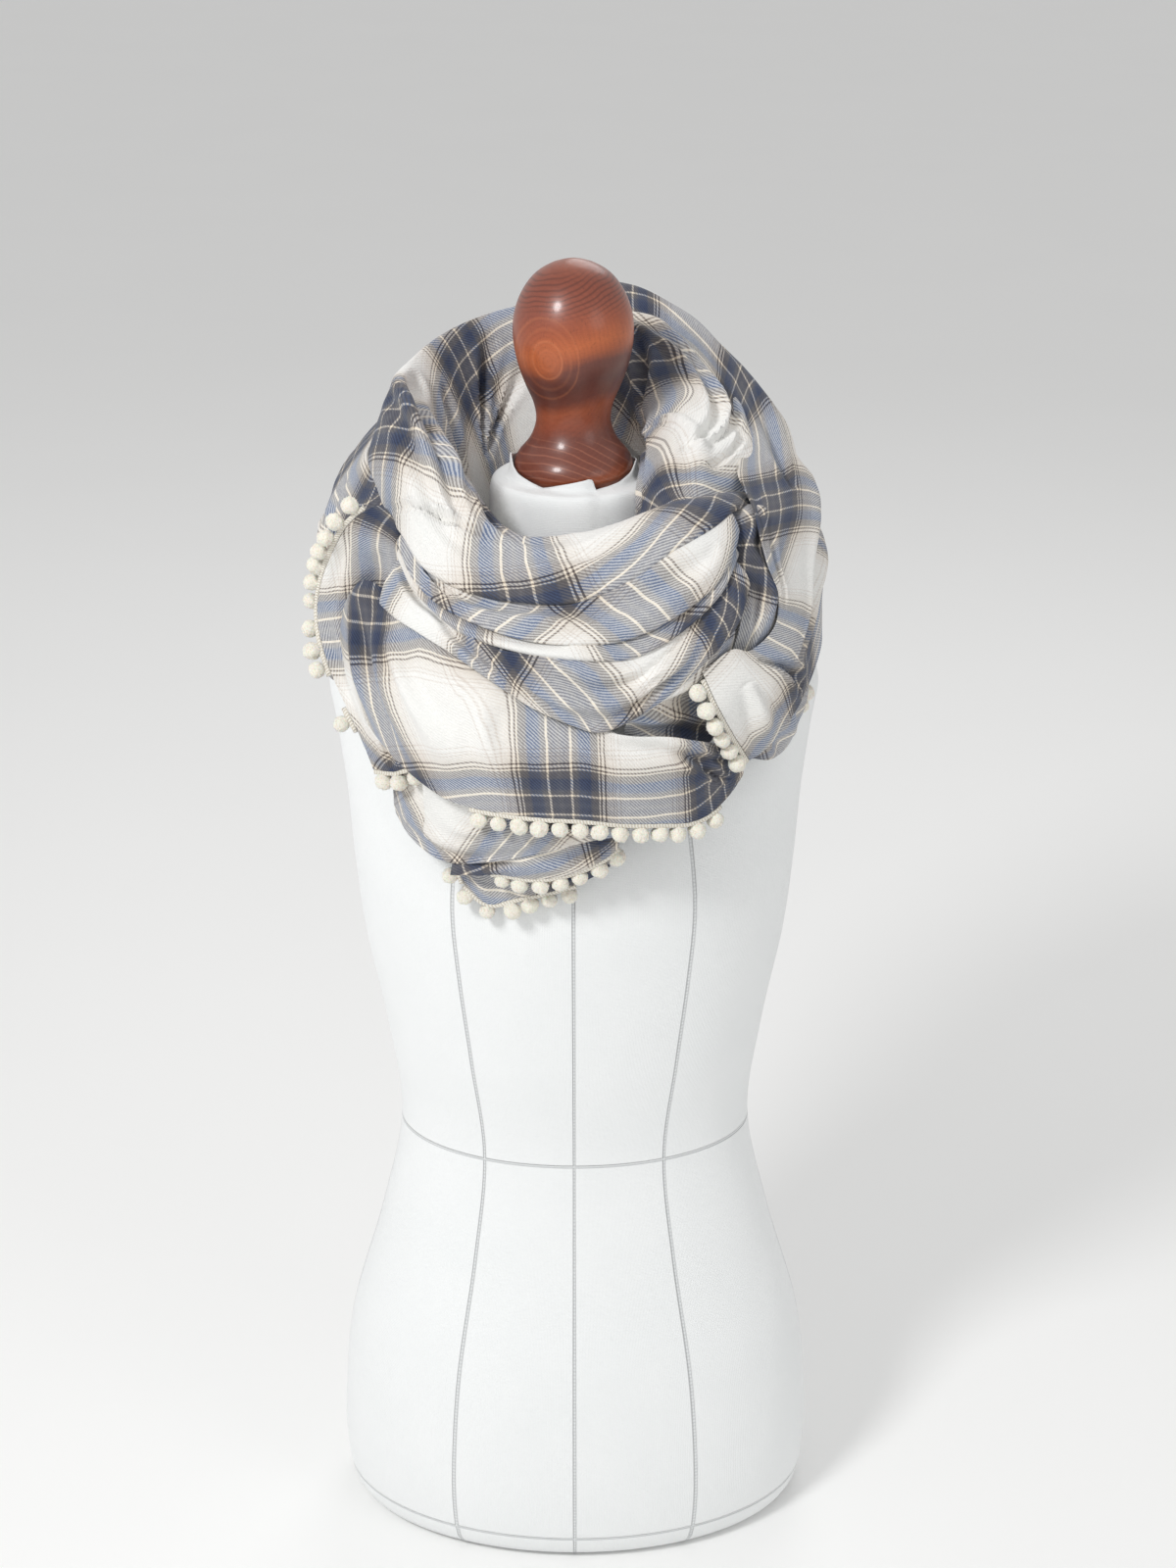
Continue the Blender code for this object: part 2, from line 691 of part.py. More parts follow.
def add_scarf():
    neck_roll = add_cloth("neck_roll", ring_sections(NECK_ROLL), columns=8, closed=True)
    above = [foot_edge(neck_roll, closed=True)]
    add_cloth("inner_fold", free_sections(INNER_FOLD), columns=8)
    second_roll = add_cloth("second_roll", hanging_sections(SECOND_ROLL, above), columns=5)
    above = [foot_edge(second_roll)]
    thin_roll = add_cloth("thin_roll", hanging_sections(THIN_ROLL, above), columns=4)
    above = [foot_edge(thin_roll)]
    v_drape = add_cloth("v_drape", hanging_sections(V_DRAPE, above, deep=8.0))
    lower_drape = hanging_sections(LOWER_DRAPE, [foot_edge(v_drape)], deep=7.5)
    add_cloth("lower_drape", lower_drape, columns=4)

    outer_wrap = add_cloth("outer_wrap", free_sections(OUTER_WRAP), columns=8)
    add_cloth("back_band", hanging_sections(BACK_BAND, [foot_edge(outer_wrap)]), columns=4)
    add_cloth("right_fold", free_sections(RIGHT_FOLD), columns=4)
    right_tail = hanging_sections(RIGHT_TAIL, [foot_edge(outer_wrap)])
    right_tail = add_cloth("right_tail", right_tail, columns=4)

    left_fold = add_cloth("left_fold", free_sections(LEFT_FOLD))
    front_panel = add_cloth("front_panel", panel_sections(FRONT_PANEL))
    above = [foot_edge(front_panel), end_edge(left_fold, -1)]
    low_fold = hanging_sections(LOW_FOLD, above, TRIM_ROOM, deep=0.0)
    low_fold = add_cloth("low_fold", low_fold, columns=5)
    tip_over = add_cloth("tip_over", hanging_sections(TIP_OVER, [foot_edge(low_fold)]), columns=4)
    tip_under = hanging_sections(TIP_UNDER, [foot_edge(tip_over)], TRIM_ROOM, deep=1.5)
    tip_under = add_cloth("tip_under", tip_under, columns=4)

    add_pompoms("trim_left", foot_edge(left_fold, 0, 10))
    add_pompoms("trim_left_hem", end_edge(left_fold, -1, 2))
    add_pompoms("trim_corner", end_edge(outer_wrap, 0, 2))
    add_pompoms("trim_front_hem", foot_edge(front_panel, 11, -4))
    add_pompoms("trim_tip_over", foot_edge(tip_over, 2))
    add_pompoms("trim_tip_under", foot_edge(tip_under, 1, 6))
    add_pompoms("trim_tail", end_edge(right_tail, -1, 2))


def centre_on_base():
    """Move all shapes so that their box stands on the origin with its bottom centre."""
    meshes = [made.data for made in bpy.context.scene.objects]
    points = [vertex.co for mesh in meshes for vertex in mesh.vertices]
    low = Vector([min(point[axis] for point in points) for axis in range(3)])
    high = Vector([max(point[axis] for point in points) for axis in range(3)])
    middle = (low + high) / 2
    for mesh in meshes:
        mesh.transform(Matrix.Translation((-middle.x, -middle.y, -low.z)))


def main():
    for old in list(bpy.data.objects):
        bpy.data.objects.remove(old)
    add_form()
    add_finial()
    add_scarf()
    centre_on_base()


main()
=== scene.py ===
# Plaid flannel triangle scarf with a pompom edge, wound round the neck of a limbless dress form
# with a turned wooden finial. Lengths in the dictionaries are millimetres and angles are degrees:
# they go round the neck from the front, positive towards +X. Heights count from the neck's top.
import math

import bmesh
import bpy
import numpy as np
from mathutils import Matrix, Vector, noise


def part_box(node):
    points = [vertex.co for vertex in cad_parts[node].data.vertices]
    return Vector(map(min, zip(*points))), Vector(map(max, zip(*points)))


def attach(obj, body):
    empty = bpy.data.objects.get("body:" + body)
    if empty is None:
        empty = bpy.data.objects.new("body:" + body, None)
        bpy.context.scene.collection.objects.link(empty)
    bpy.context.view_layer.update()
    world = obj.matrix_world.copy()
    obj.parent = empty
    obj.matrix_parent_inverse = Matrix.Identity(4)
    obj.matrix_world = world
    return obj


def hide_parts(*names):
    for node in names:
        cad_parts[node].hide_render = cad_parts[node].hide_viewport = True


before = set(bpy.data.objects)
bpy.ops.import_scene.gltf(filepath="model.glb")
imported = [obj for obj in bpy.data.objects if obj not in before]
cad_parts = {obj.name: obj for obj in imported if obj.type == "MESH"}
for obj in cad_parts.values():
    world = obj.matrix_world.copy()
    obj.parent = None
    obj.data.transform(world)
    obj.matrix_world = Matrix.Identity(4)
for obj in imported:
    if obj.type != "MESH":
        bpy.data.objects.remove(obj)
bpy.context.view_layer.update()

mm = 0.001

finialLow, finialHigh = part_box("form_finial")
seatGap = 0.35 * mm
neckAxis = np.array([
    (finialLow[0] + finialHigh[0]) / 2,
    (finialLow[1] + finialHigh[1]) / 2,
    finialLow[2] - seatGap,
])

cloth = {
    "thickness": 1.1,
    "solidWall": 2.0,       # wall of the plain solids, which sets how the stretches are layered
    "layerGap": 0.75,
    "tuckIn": 10.0,
    "tuckDeep": 2.5,
    "trimRoom": 8.0,
    "rimShare": 0.55,
    "rowStep": 2.8,
    "columnStep": 2.2,
    "settRepeat": 116.0,    # one repeat of the plaid, the same both ways
}


# Socket maths for the materials

class Wire:
    def __init__(self, shade, socket):
        self.shade, self.socket = shade, socket

    def maths(self, kind, *others):
        return self.shade.node("ShaderNodeMath", "Value", (self, *others), operation=kind)

    def __add__(self, other):
        return self.maths("ADD", other)

    def __radd__(self, other):
        return self.maths("ADD", other)

    def __mul__(self, other):
        return self.maths("MULTIPLY", other)

    def __rmul__(self, other):
        return self.maths("MULTIPLY", other)

    def __sub__(self, other):
        return self.maths("SUBTRACT", other)

    def __rsub__(self, other):
        return (self * -1.0).maths("ADD", other)

    def clamp(self, low=0.0, high=1.0):
        return self.maths("MAXIMUM", low).maths("MINIMUM", high)

    def step(self, low, high):                      # 0 below low, 1 above high, smooth between
        return self.shade.node("ShaderNodeMapRange", "Result", {
            "Value": self, "From Min": low, "From Max": high,
        }, interpolation_type="SMOOTHSTEP")


class Shade:
    def __init__(self, name, **constants):
        self.material = bpy.data.materials.new(name)
        self.material.use_nodes = True
        self.tree = self.material.node_tree
        self.surface = self.tree.nodes["Principled BSDF"]
        for socket, value in constants.items():
            self.surface.inputs[socket.replace("_", " ")].default_value = value

    def put(self, target, value):
        if isinstance(value, Wire):
            self.tree.links.new(value.socket, target)
        elif value is not None:
            target.default_value = value

    def node(self, kind, output, inputs=(), **settings):
        made = self.tree.nodes.new(kind)
        for setting, value in settings.items():
            setattr(made, setting, value)
        pairs = inputs.items() if isinstance(inputs, dict) else enumerate(inputs)
        for socket, value in pairs:
            self.put(made.inputs[socket], value)
        return Wire(self, made.outputs[output])

    def place(self, centre=(0.0, 0.0, 0.0)):        # Object coordinates, counted from centre
        here = self.node("ShaderNodeTexCoord", "Object")
        return self.node("ShaderNodeVectorMath", "Vector", (here, centre), operation="SUBTRACT")

    def split(self, vector):
        parts = self.node("ShaderNodeSeparateXYZ", "X", (vector,)).socket.node
        return [Wire(self, parts.outputs[axis]) for axis in "XYZ"]

    def join(self, x, y, z):
        return self.node("ShaderNodeCombineXYZ", "Vector", (x, y, z))

    def noise(self, vector, scale, detail=2.0, output="Fac", rough=0.5):
        return self.node("ShaderNodeTexNoise", output, {
            "Vector": vector, "Scale": scale, "Detail": detail, "Roughness": rough,
        })

    def mix(self, amount, first, second, blend="MIX"):
        colours = {0: amount, 6: first, 7: second}  # the colour sockets of the node, by number
        return self.node("ShaderNodeMix", 2, colours, data_type="RGBA", blend_type=blend)

    def ramp(self, amount, stops):
        tint = self.node("ShaderNodeValToRGB", "Color", (amount,))
        marks = tint.socket.node.color_ramp.elements
        while len(marks) < len(stops):
            marks.new(1.0)
        for mark, (at, colour) in zip(marks, stops):
            mark.position = at
            mark.color = colour
        return tint

    def finish(self, colour, rough=None, height=None, depth=0.0003, strength=1.0):
        self.put(self.surface.inputs["Base Color"], colour)
        self.put(self.surface.inputs["Roughness"], rough)
        if height is not None:
            bump = self.node("ShaderNodeBump", "Normal", {
                "Height": height, "Distance": depth, "Strength": strength,
            })
            self.put(self.surface.inputs["Normal"], bump)
        return self.material


def paint(red, green, blue):                        # a screen colour, 0 to 255, as shader light
    return tuple(
        (v / 12.92 if v <= 0.04045 else ((v + 0.055) / 1.055) ** 2.4)
        for v in (red / 255, green / 255, blue / 255)
    ) + (1.0,)


# Materials

plaid = {
    "ground": paint(242, 242, 239),
    "navy": paint(33, 33, 46),
    "halfRepeat": 58.0,
    # Tint of the threads, by distance in millimetres from the middle of a dark band
    "threads": (
        (0.0, (0.42, 0.42, 0.45)), (3.0, (0.35, 0.36, 0.42)), (6.3, (0.39, 0.38, 0.40)),
        (6.4, (1.0, 0.93, 0.83)), (7.7, (1.0, 0.93, 0.83)),
        (7.8, (0.44, 0.42, 0.42)), (10.5, (0.41, 0.41, 0.44)), (12.5, (0.27, 0.32, 0.45)),
        (18.5, (0.22, 0.28, 0.43)), (20.0, (0.38, 0.37, 0.39)), (24.6, (0.44, 0.41, 0.39)),
        (24.7, (0.96, 0.90, 0.82)), (25.6, (0.96, 0.90, 0.82)), (25.7, (0.38, 0.33, 0.30)),
        (26.9, (0.38, 0.33, 0.30)), (27.0, (0.97, 0.92, 0.86)), (28.6, (0.97, 0.92, 0.86)),
        (28.7, (0.38, 0.33, 0.30)), (29.8, (0.38, 0.33, 0.30)), (29.9, (0.90, 0.855, 0.81)),
        (33.5, (0.95, 0.92, 0.895)), (37.5, (1.0, 0.99, 0.985)), (58.0, (1.0, 1.0, 1.0)),
    ),
    "faintLines": (34.6, 36.6, 39.5),
    "faintWidth": 0.35,
    "twillPitch": 1.7,
    "streak": 0.45,         # how far single threads show through the mixed colour
    "crossing": 1.5,       # how quickly two dark bands turn navy where they cross
    "napSize": 0.45,
}


def plaidFlannel():
    shade = Shade("plaidFlannel", Roughness=0.92, Sheen_Weight=0.22, Sheen_Roughness=0.5,
                  Specular_IOR_Level=0.2)
    sett = shade.node("ShaderNodeUVMap", "UV", uv_map="sett")
    place = shade.place()
    half = plaid["halfRepeat"]
    repeat = cloth["settRepeat"]
    stops = [(at / half, (*tint, 1.0)) for at, tint in plaid["threads"]]
    drift = shade.split(shade.noise(place, 48.0, 2.0, "Color"))
    warp, weft, _ = shade.split(sett)
    warp = warp + (drift[0] - 0.5) * (2.4 / repeat)
    weft = weft + (drift[1] - 0.5) * (2.4 / repeat)

    def threads(across):
        away = across.maths("PINGPONG", 0.5) * 2.0
        colour = shade.ramp(away, stops)
        faint = None
        for at in plaid["faintLines"]:
            line = 1.0 - (away * half - at).maths("ABSOLUTE").step(0.0, plaid["faintWidth"] * 2)
            faint = line if faint is None else faint + line
        colour = shade.mix((faint * 0.4).clamp(), colour, (0.72, 0.64, 0.58, 1.0), "MULTIPLY")
        return colour, (1.0 - shade.split(colour)[1]).clamp()

    (warpColour, warpDark), (weftColour, weftDark) = threads(warp), threads(weft)
    mixed = shade.mix(1.0, warpColour, weftColour, "MULTIPLY")
    slub = shade.noise(shade.join(warp * 9.0, weft * 9.0, 0.0), 12.0, 2.0)
    diagonal = (warp + weft) * (repeat / plaid["twillPitch"] * 0.7071) + slub * 0.5
    ripple = (diagonal * math.tau).maths("SINE")
    along = shade.noise(shade.join(warp * 520.0, weft * 60.0, 0.0), 1.0, 1.0)
    across = shade.noise(shade.join(warp * 60.0, weft * 520.0, 5.0), 1.0, 1.0)
    over = (ripple * 1.7 + 0.5 + (along - across) * 1.6).clamp()
    warpThread = shade.mix(0.6, warpColour, warpColour, "MULTIPLY")
    weftThread = shade.mix(0.6, weftColour, weftColour, "MULTIPLY")
    single = shade.mix(over, warpThread, weftThread)
    woven = shade.mix(plaid["streak"], mixed, single)
    ground = shade.mix(1.0, plaid["ground"], woven, "MULTIPLY")
    both = (warpDark * weftDark * plaid["crossing"] * (0.72 + ripple * 0.22)).clamp(0.0, 0.93)
    ground = shade.mix(both, ground, plaid["navy"])
    nap = shade.noise(place, 1000.0 / plaid["napSize"] / 2.5, 3.0)
    cloud = shade.noise(place, 26.0, 3.0)
    light = 1.0 + (nap - 0.5) * 0.20 + (cloud - 0.5) * 0.08
    colour = shade.mix(1.0, ground, shade.join(light, light, light), "MULTIPLY")
    height = ripple * 0.35 + (along + across) * 0.5 + nap * 1.0 + cloud * 0.2
    return shade.finish(colour, 0.90 + (nap - 0.5) * 0.12, height, depth=0.00030)


wool = {"colour": paint(248, 244, 231), "shadow": paint(222, 213, 190)}


def pompomWool():
    shade = Shade("pompomWool", Roughness=0.95, Sheen_Weight=0.5, Sheen_Roughness=0.6,
                  Specular_IOR_Level=0.15, Subsurface_Weight=0.12, Subsurface_Scale=0.003)
    place = shade.place()
    tufts = shade.noise(place, 900.0, 3.0, rough=0.65)
    fibre = shade.noise(place, 2600.0, 2.0)
    colour = shade.mix(tufts.step(0.25, 0.55), wool["shadow"], wool["colour"])
    return shade.finish(colour, 0.93 + (fibre - 0.5) * 0.1, tufts * 0.7 + fibre * 0.5, depth=0.0007)


def braidTape():
    shade = Shade("braidTape", Roughness=0.9, Sheen_Weight=0.3, Specular_IOR_Level=0.2)
    run = shade.node("ShaderNodeUVMap", "UV", uv_map="run")
    along, across, _ = shade.split(run)
    plait = ((along * 1.6 + (across * 3.0).maths("PINGPONG", 1.0)) * math.tau).maths("SINE")
    fibre = shade.noise(shade.place(), 2200.0, 2.0)
    # the darker colour lies where the plait is low, in its grooves: painted shade
    colour = shade.mix(plait.step(-0.9, 0.5), paint(216, 208, 192), paint(245, 241, 231))
    return shade.finish(colour, 0.9 + (fibre - 0.5) * 0.1, plait * 0.6 + fibre * 0.4, depth=0.0004)


jersey = {
    "seams": (0.0, 41.0, 90.0, 139.0, 180.0),       # degrees round from the front, on both sides
    "waist": 318.0, "hem": 21.0,
    "pale": paint(250, 251, 251), "shade": paint(237, 240, 240),
}


def formJersey():
    shade = Shade("formJersey", Roughness=0.85, Sheen_Weight=0.25, Specular_IOR_Level=0.25)
    place = shade.place((neckAxis[0], neckAxis[1], 0.0))
    x, y, z = shade.split(place)
    turn = x.maths("ABSOLUTE").maths("ARCTAN2", y * -1.0)
    course = (z * (math.tau / 0.0011)).maths("SINE")
    wale = (turn * 640.0).maths("SINE")
    knit = course * 0.5 + wale * 0.5
    below = 1.0 - z.step(0.655, 0.670)
    seam = None
    for angle in jersey["seams"]:
        line = (1.0 - (turn - math.radians(angle)).maths("ABSOLUTE").step(0.004, 0.013)) * below
        seam = line if seam is None else seam.maths("MAXIMUM", line)
    for height in (jersey["waist"], jersey["hem"]):
        line = 1.0 - (z - height * mm).maths("ABSOLUTE").step(0.0004, 0.0015)
        seam = seam.maths("MAXIMUM", line)
    stitch = (z * (math.tau / 0.0028)).maths("SINE").step(-0.2, 0.4)
    cloud = shade.noise(place, 18.0, 3.0)
    fibre = shade.noise(place, 1900.0, 2.0)
    tone = (cloud * 0.5 + fibre * 0.3 + 0.15).clamp()
    colour = shade.mix(tone, jersey["shade"], jersey["pale"])
    colour = shade.mix((seam * (0.35 + stitch * 0.25)).clamp(), colour, paint(190, 194, 195))
    height = knit * 0.25 + fibre * 0.4 - seam * 3.0
    return shade.finish(colour, 0.84 + (fibre - 0.5) * 0.1, height, depth=0.0004)


wood = {
    "knot": (-17.0, 89.0),          # middle of the ring knot on the front of the ball, x and height
    "knotSize": (9.5, 13.0),
    "knotLine": paint(206, 122, 78),
    # distance from the knot's middle in its own size, width and strength of each ring
    "knotRings": ((1.0, 0.12, 0.42), (0.55, 0.14, 0.12), (1.62, 0.16, 0.12), (2.15, 0.12, 0.20)),
    "bands": (                      # share of the height, colour
        (0.00, paint(164, 88, 56)), (0.05, paint(118, 62, 46)), (0.20, paint(112, 58, 44)),
        (0.27, paint(142, 72, 48)), (0.33, paint(158, 82, 52)), (0.39, paint(110, 56, 42)),
        (0.46, paint(92, 48, 39)), (0.54, paint(108, 56, 43)), (0.59, paint(168, 86, 48)),
        (0.64, paint(186, 98, 54)), (0.71, paint(160, 82, 52)), (0.80, paint(138, 72, 53)),
        (0.92, paint(130, 66, 48)), (1.00, paint(142, 74, 50)),
    ),
    "slope": 0.20,                  # how far the bands rise to the right
    "dark": paint(70, 34, 26), "pale": paint(178, 112, 86),
}


def turnedWood():
    shade = Shade("turnedWood", Roughness=0.36, Coat_Weight=0.35, Coat_Roughness=0.16,
                  Specular_IOR_Level=0.45)
    place = shade.place(tuple(neckAxis))
    x, y, z = shade.split(place)
    drift = [part - 0.5 for part in shade.split(shade.noise(place, 17.0, 3.0, "Color"))]
    high = z - x * wood["slope"] + drift[2] * 0.020 + y * 0.12
    base = shade.ramp((high * (1.0 / (148.0 * mm))).clamp(), wood["bands"])

    front = 1.0 - y.step(-0.012, 0.004)
    knotX, knotZ = (value * mm for value in wood["knot"])
    wide, tall = (value * mm for value in wood["knotSize"])
    across = (x - knotX + drift[0] * 0.004) * (1.0 / wide)
    up = (z - knotZ + drift[1] * 0.004) * (1.0 / tall)
    ring = (across * across + up * up).maths("SQRT")
    inside = (1.0 - ring.step(0.6, 1.4)) * front
    base = shade.mix((inside * 0.6).clamp(), base, paint(180, 94, 52))
    for at, thin, strength in wood["knotRings"]:
        line = (1.0 - (ring - at).maths("ABSOLUTE").step(0.0, thin)) * front
        base = shade.mix((line * strength).clamp(), base, wood["knotLine"])

    streak = shade.noise(shade.join(x * 0.22, y * 0.22, z + drift[0] * 0.010), 1500.0, 3.0)
    wave = z + drift[1] * 0.016 - x * 0.25
    topLine = 1.0 - (wave * (1.0 / 0.0030)).maths("PINGPONG", 0.5).step(0.02, 0.30)
    topPart = z.step(0.112, 0.126) * (1.0 - z.step(0.138, 0.146)) * (0.45 + streak)
    base = shade.mix((topLine * topPart * 0.55).clamp(), base, wood["dark"])
    bow = z + (x + 0.016) * (x + 0.016) * 9.0 + drift[2] * 0.006
    flareLine = 1.0 - (bow * (1.0 / 0.0044)).maths("PINGPONG", 0.5).step(0.0, 0.16)
    flarePart = 1.0 - z.step(0.026, 0.036)
    base = shade.mix((flareLine * flarePart * 0.42).clamp(), base, wood["pale"])
    grainLine = 1.0 - ((ring + drift[0] * 2.0) * 3.2).maths("PINGPONG", 0.5).step(0.0, 0.4)
    base = shade.mix((grainLine * 0.09).clamp(), base, wood["dark"])
    tone = 0.80 + streak * 0.40
    base = shade.mix(1.0, base, shade.join(tone, tone, tone), "MULTIPLY")
    pores = shade.noise(shade.join(x, y, z * 0.3), 1100.0, 2.0).step(0.60, 0.72)
    base = shade.mix((pores * 0.30).clamp(), base, wood["dark"])
    rough = 0.32 + streak * 0.10 + pores * 0.08
    return shade.finish(base, rough, streak * 0.25 - pores * 0.4, depth=0.00010)


slots = {
    "plaid": (plaidFlannel(), "plaid_cloth"),
    "pompom": (pompomWool(), "pompom_trim"),
    "tape": (braidTape(), "pompom_trim"),
    "jersey": (formJersey(), "form_cover"),
    "wood": (turnedWood(), "turned_wood"),
}
print("materials ready")


# Shapes of the wound cloth

def around(angle, radius, height):
    turn = math.radians(angle)
    offset = np.array([radius * math.sin(turn), -radius * math.cos(turn), height])
    return neckAxis + offset * mm


def smoothValue(before, start, end, after, share):
    return 0.5 * (
        2 * start + (end - before) * share
        + (2 * before - 5 * start + 4 * end - after) * share ** 2
        + (3 * start - before - 3 * end + after) * share ** 3
    )


def rowsAlong(table, closed=False):                 # a smooth row every few millimetres
    rows = [np.array(row, float) for row in table]
    count = len(rows)

    def rowAt(index):
        if closed:
            row = rows[index % count].copy()
            row[0] += 360.0 * (index // count)
            return row
        if index < 0:
            return 2 * rows[0] - rows[1]
        if index >= count:
            return 2 * rows[-1] - rows[-2]
        return rows[index]

    made = []
    for index in range(count if closed else count - 1):
        near = [rowAt(index + offset) for offset in (-1, 0, 1, 2)]
        if len(table[0]) % 3 == 0:                  # rows of whole places, measured at the second one
            length = np.linalg.norm(around(*near[2][3:6]) - around(*near[1][3:6])) / mm
        else:
            radius = near[1][1 if len(table[0]) == 4 else 5]
            length = abs(math.radians(near[2][0] - near[1][0])) * radius
        steps = max(1, round(length / cloth["rowStep"]))
        made += [smoothValue(*near, share / steps) for share in range(steps)]
    if not closed:
        made.append(rows[-1])
    return made


def smoothLine(knots, marks):                       # marks are shares of the line's length
    knots = np.array(knots)
    places = np.concatenate([[0.0], np.cumsum(np.linalg.norm(np.diff(knots, axis=0), axis=1))])
    last = len(knots) - 1
    low = np.maximum(np.arange(last + 1) - 1, 0)
    high = np.minimum(np.arange(last + 1) + 1, last)
    slopes = (knots[high] - knots[low]) / (places[high] - places[low])[:, None]
    at = np.asarray(marks) * places[-1]
    index = np.clip(np.searchsorted(places, at, side="right") - 1, 0, last - 1)
    span = (places[index + 1] - places[index])[:, None]
    t = (at - places[index])[:, None] / span
    return (
        knots[index] * (2 * t ** 3 - 3 * t ** 2 + 1) + slopes[index] * (t ** 3 - 2 * t ** 2 + t) * span
        + knots[index + 1] * (3 * t ** 2 - 2 * t ** 3) + slopes[index + 1] * (t ** 3 - t ** 2) * span
    )


def gridNormals(grid, closed):
    if closed:
        along = np.roll(grid, -1, axis=0) - np.roll(grid, 1, axis=0)
    else:
        along = np.gradient(grid, axis=0)
    down = np.gradient(grid, axis=1)
    normals = np.cross(down, along)
    return normals / np.maximum(np.linalg.norm(normals, axis=2, keepdims=True), 1e-12)


def footEdge(grid, closed=False):
    normals = gridNormals(grid, closed)[:, -1]
    out = grid[:, -1] - grid[:, -2]
    out /= np.linalg.norm(out, axis=1, keepdims=True)
    edge = list(zip(grid[:, -1], out, normals))
    return edge + edge[:1] if closed else edge


def endEdge(grid, end):
    normals = gridNormals(grid, False)[end]
    out = grid[end] - grid[1 if end == 0 else -2]
    out /= np.linalg.norm(out, axis=1, keepdims=True)
    return list(zip(grid[end], out, normals))


def edgeReader(edges):                              # the place on the lowest edge at an angle
    spans = []
    for edge in edges:
        marks = [
            math.degrees(math.atan2(place[0][0] - neckAxis[0], neckAxis[1] - place[0][1]))
            for place in edge
        ]
        spans += list(zip(marks, marks[1:], edge, edge[1:]))

    def read(angle):
        found = []
        for start, end, first, second in spans:
            span = (end - start + 180.0) % 360.0 - 180.0
            gone = (angle - start + 180.0) % 360.0 - 180.0
            if span and -1e-6 <= gone / span <= 1.000001:
                share = gone / span
                found.append([a + (b - a) * share for a, b in zip(first, second)])
        return min(found, key=lambda place: place[0][2])

    return read


def hangingSections(table, upperEdges, inset=0.0, deep=None):
    readEdge = edgeReader(upperEdges)
    deep = cloth["tuckDeep"] if deep is None else deep
    sections = []
    for angle, footRadius, footHeight, bulge in rowsAlong(table):
        point, out, normal = readEdge(angle)
        behind = point - normal * (cloth["solidWall"] + cloth["layerGap"]) * mm
        tuck = behind - (out * cloth["tuckIn"] + normal * deep) * mm
        top = behind - normal * inset * mm
        foot = around(angle, footRadius, footHeight)
        middle = (top + foot) / 2 + around(angle, bulge, 0) - neckAxis
        sections.append([tuck, top, middle, foot])
    return sections


def ringSections(table):
    sections = []
    for angle, *values in rowsAlong(table, closed=True):
        inner, rim, outer = (around(angle, *values[start:start + 2]) for start in (0, 2, 4))
        chord = outer - rim
        out = np.cross(chord, around(angle + 90.0, 1.0, 0) - neckAxis)
        out /= np.linalg.norm(out)
        sections.append([inner, rim, rim + chord * cloth["rimShare"] + out * values[6] * mm, outer])
    return sections


def panelSections(table):
    sections = []
    for angle, *v in rowsAlong(table):
        places = ((v[0], v[1]), (v[2], v[3]), ((v[2] + v[4]) / 2 + v[6], (v[3] + v[5]) / 2), (v[4], v[5]))
        sections.append([around(angle, *place) for place in places])
    return sections


def freeSections(table):
    return [
        [around(*row[start:start + 3]) for start in range(0, len(row), 3)]
        for row in rowsAlong(table)
    ]


def columnMarks(width, curl):                       # even columns, closer together at a rolled edge
    count = max(6, round(width / cloth["columnStep"]))
    marks = np.linspace(0.0, 1.0, count + 1)
    if curl:
        edge = curl / width
        rounded = 1.0 - edge * (1.0 - np.sin(np.linspace(0.0, math.pi / 2, 6)))
        marks = np.concatenate([marks[marks < 1.0 - edge * 1.3], rounded])
    return marks


def foldDepth(s, t, folds, seed):                   # s and t in millimetres on the flat cloth
    depth = np.zeros_like(s)
    for number, (s1, t1, s2, t2, width, deep, *bow) in enumerate(folds):
        length = max(math.hypot(s2 - s1, t2 - t1), 1e-6)
        ux, uy = (s2 - s1) / length, (t2 - t1) / length
        along = (s - s1) * ux + (t - t1) * uy
        share = np.clip(along / length, 0.0, 1.0)
        bend = (bow[0] if bow else 0.0) * np.sin(math.pi * share)
        bend = bend + 0.10 * width * np.sin(share * 5.0 + seed + number * 1.7)
        away = (t - t1) * ux - (s - s1) * uy - bend
        past = along - share * length
        reach = np.hypot(away, past) / (width * (0.8 + 0.35 * np.sin(share * 3.0 + number)))
        fade = np.sin(math.pi * (0.12 + 0.76 * share))
        trough = np.exp(-reach ** 2) - 0.42 * np.exp(-((reach - 1.75) / 0.75) ** 2)
        depth += deep * trough * fade
    return depth


def unevenness(grid, size, seed):
    flat = grid.reshape(-1, 3)
    values = [noise.noise(Vector(point) / (size * mm) + Vector((seed, 0, 0))) for point in flat]
    return np.array(values).reshape(grid.shape[:2])


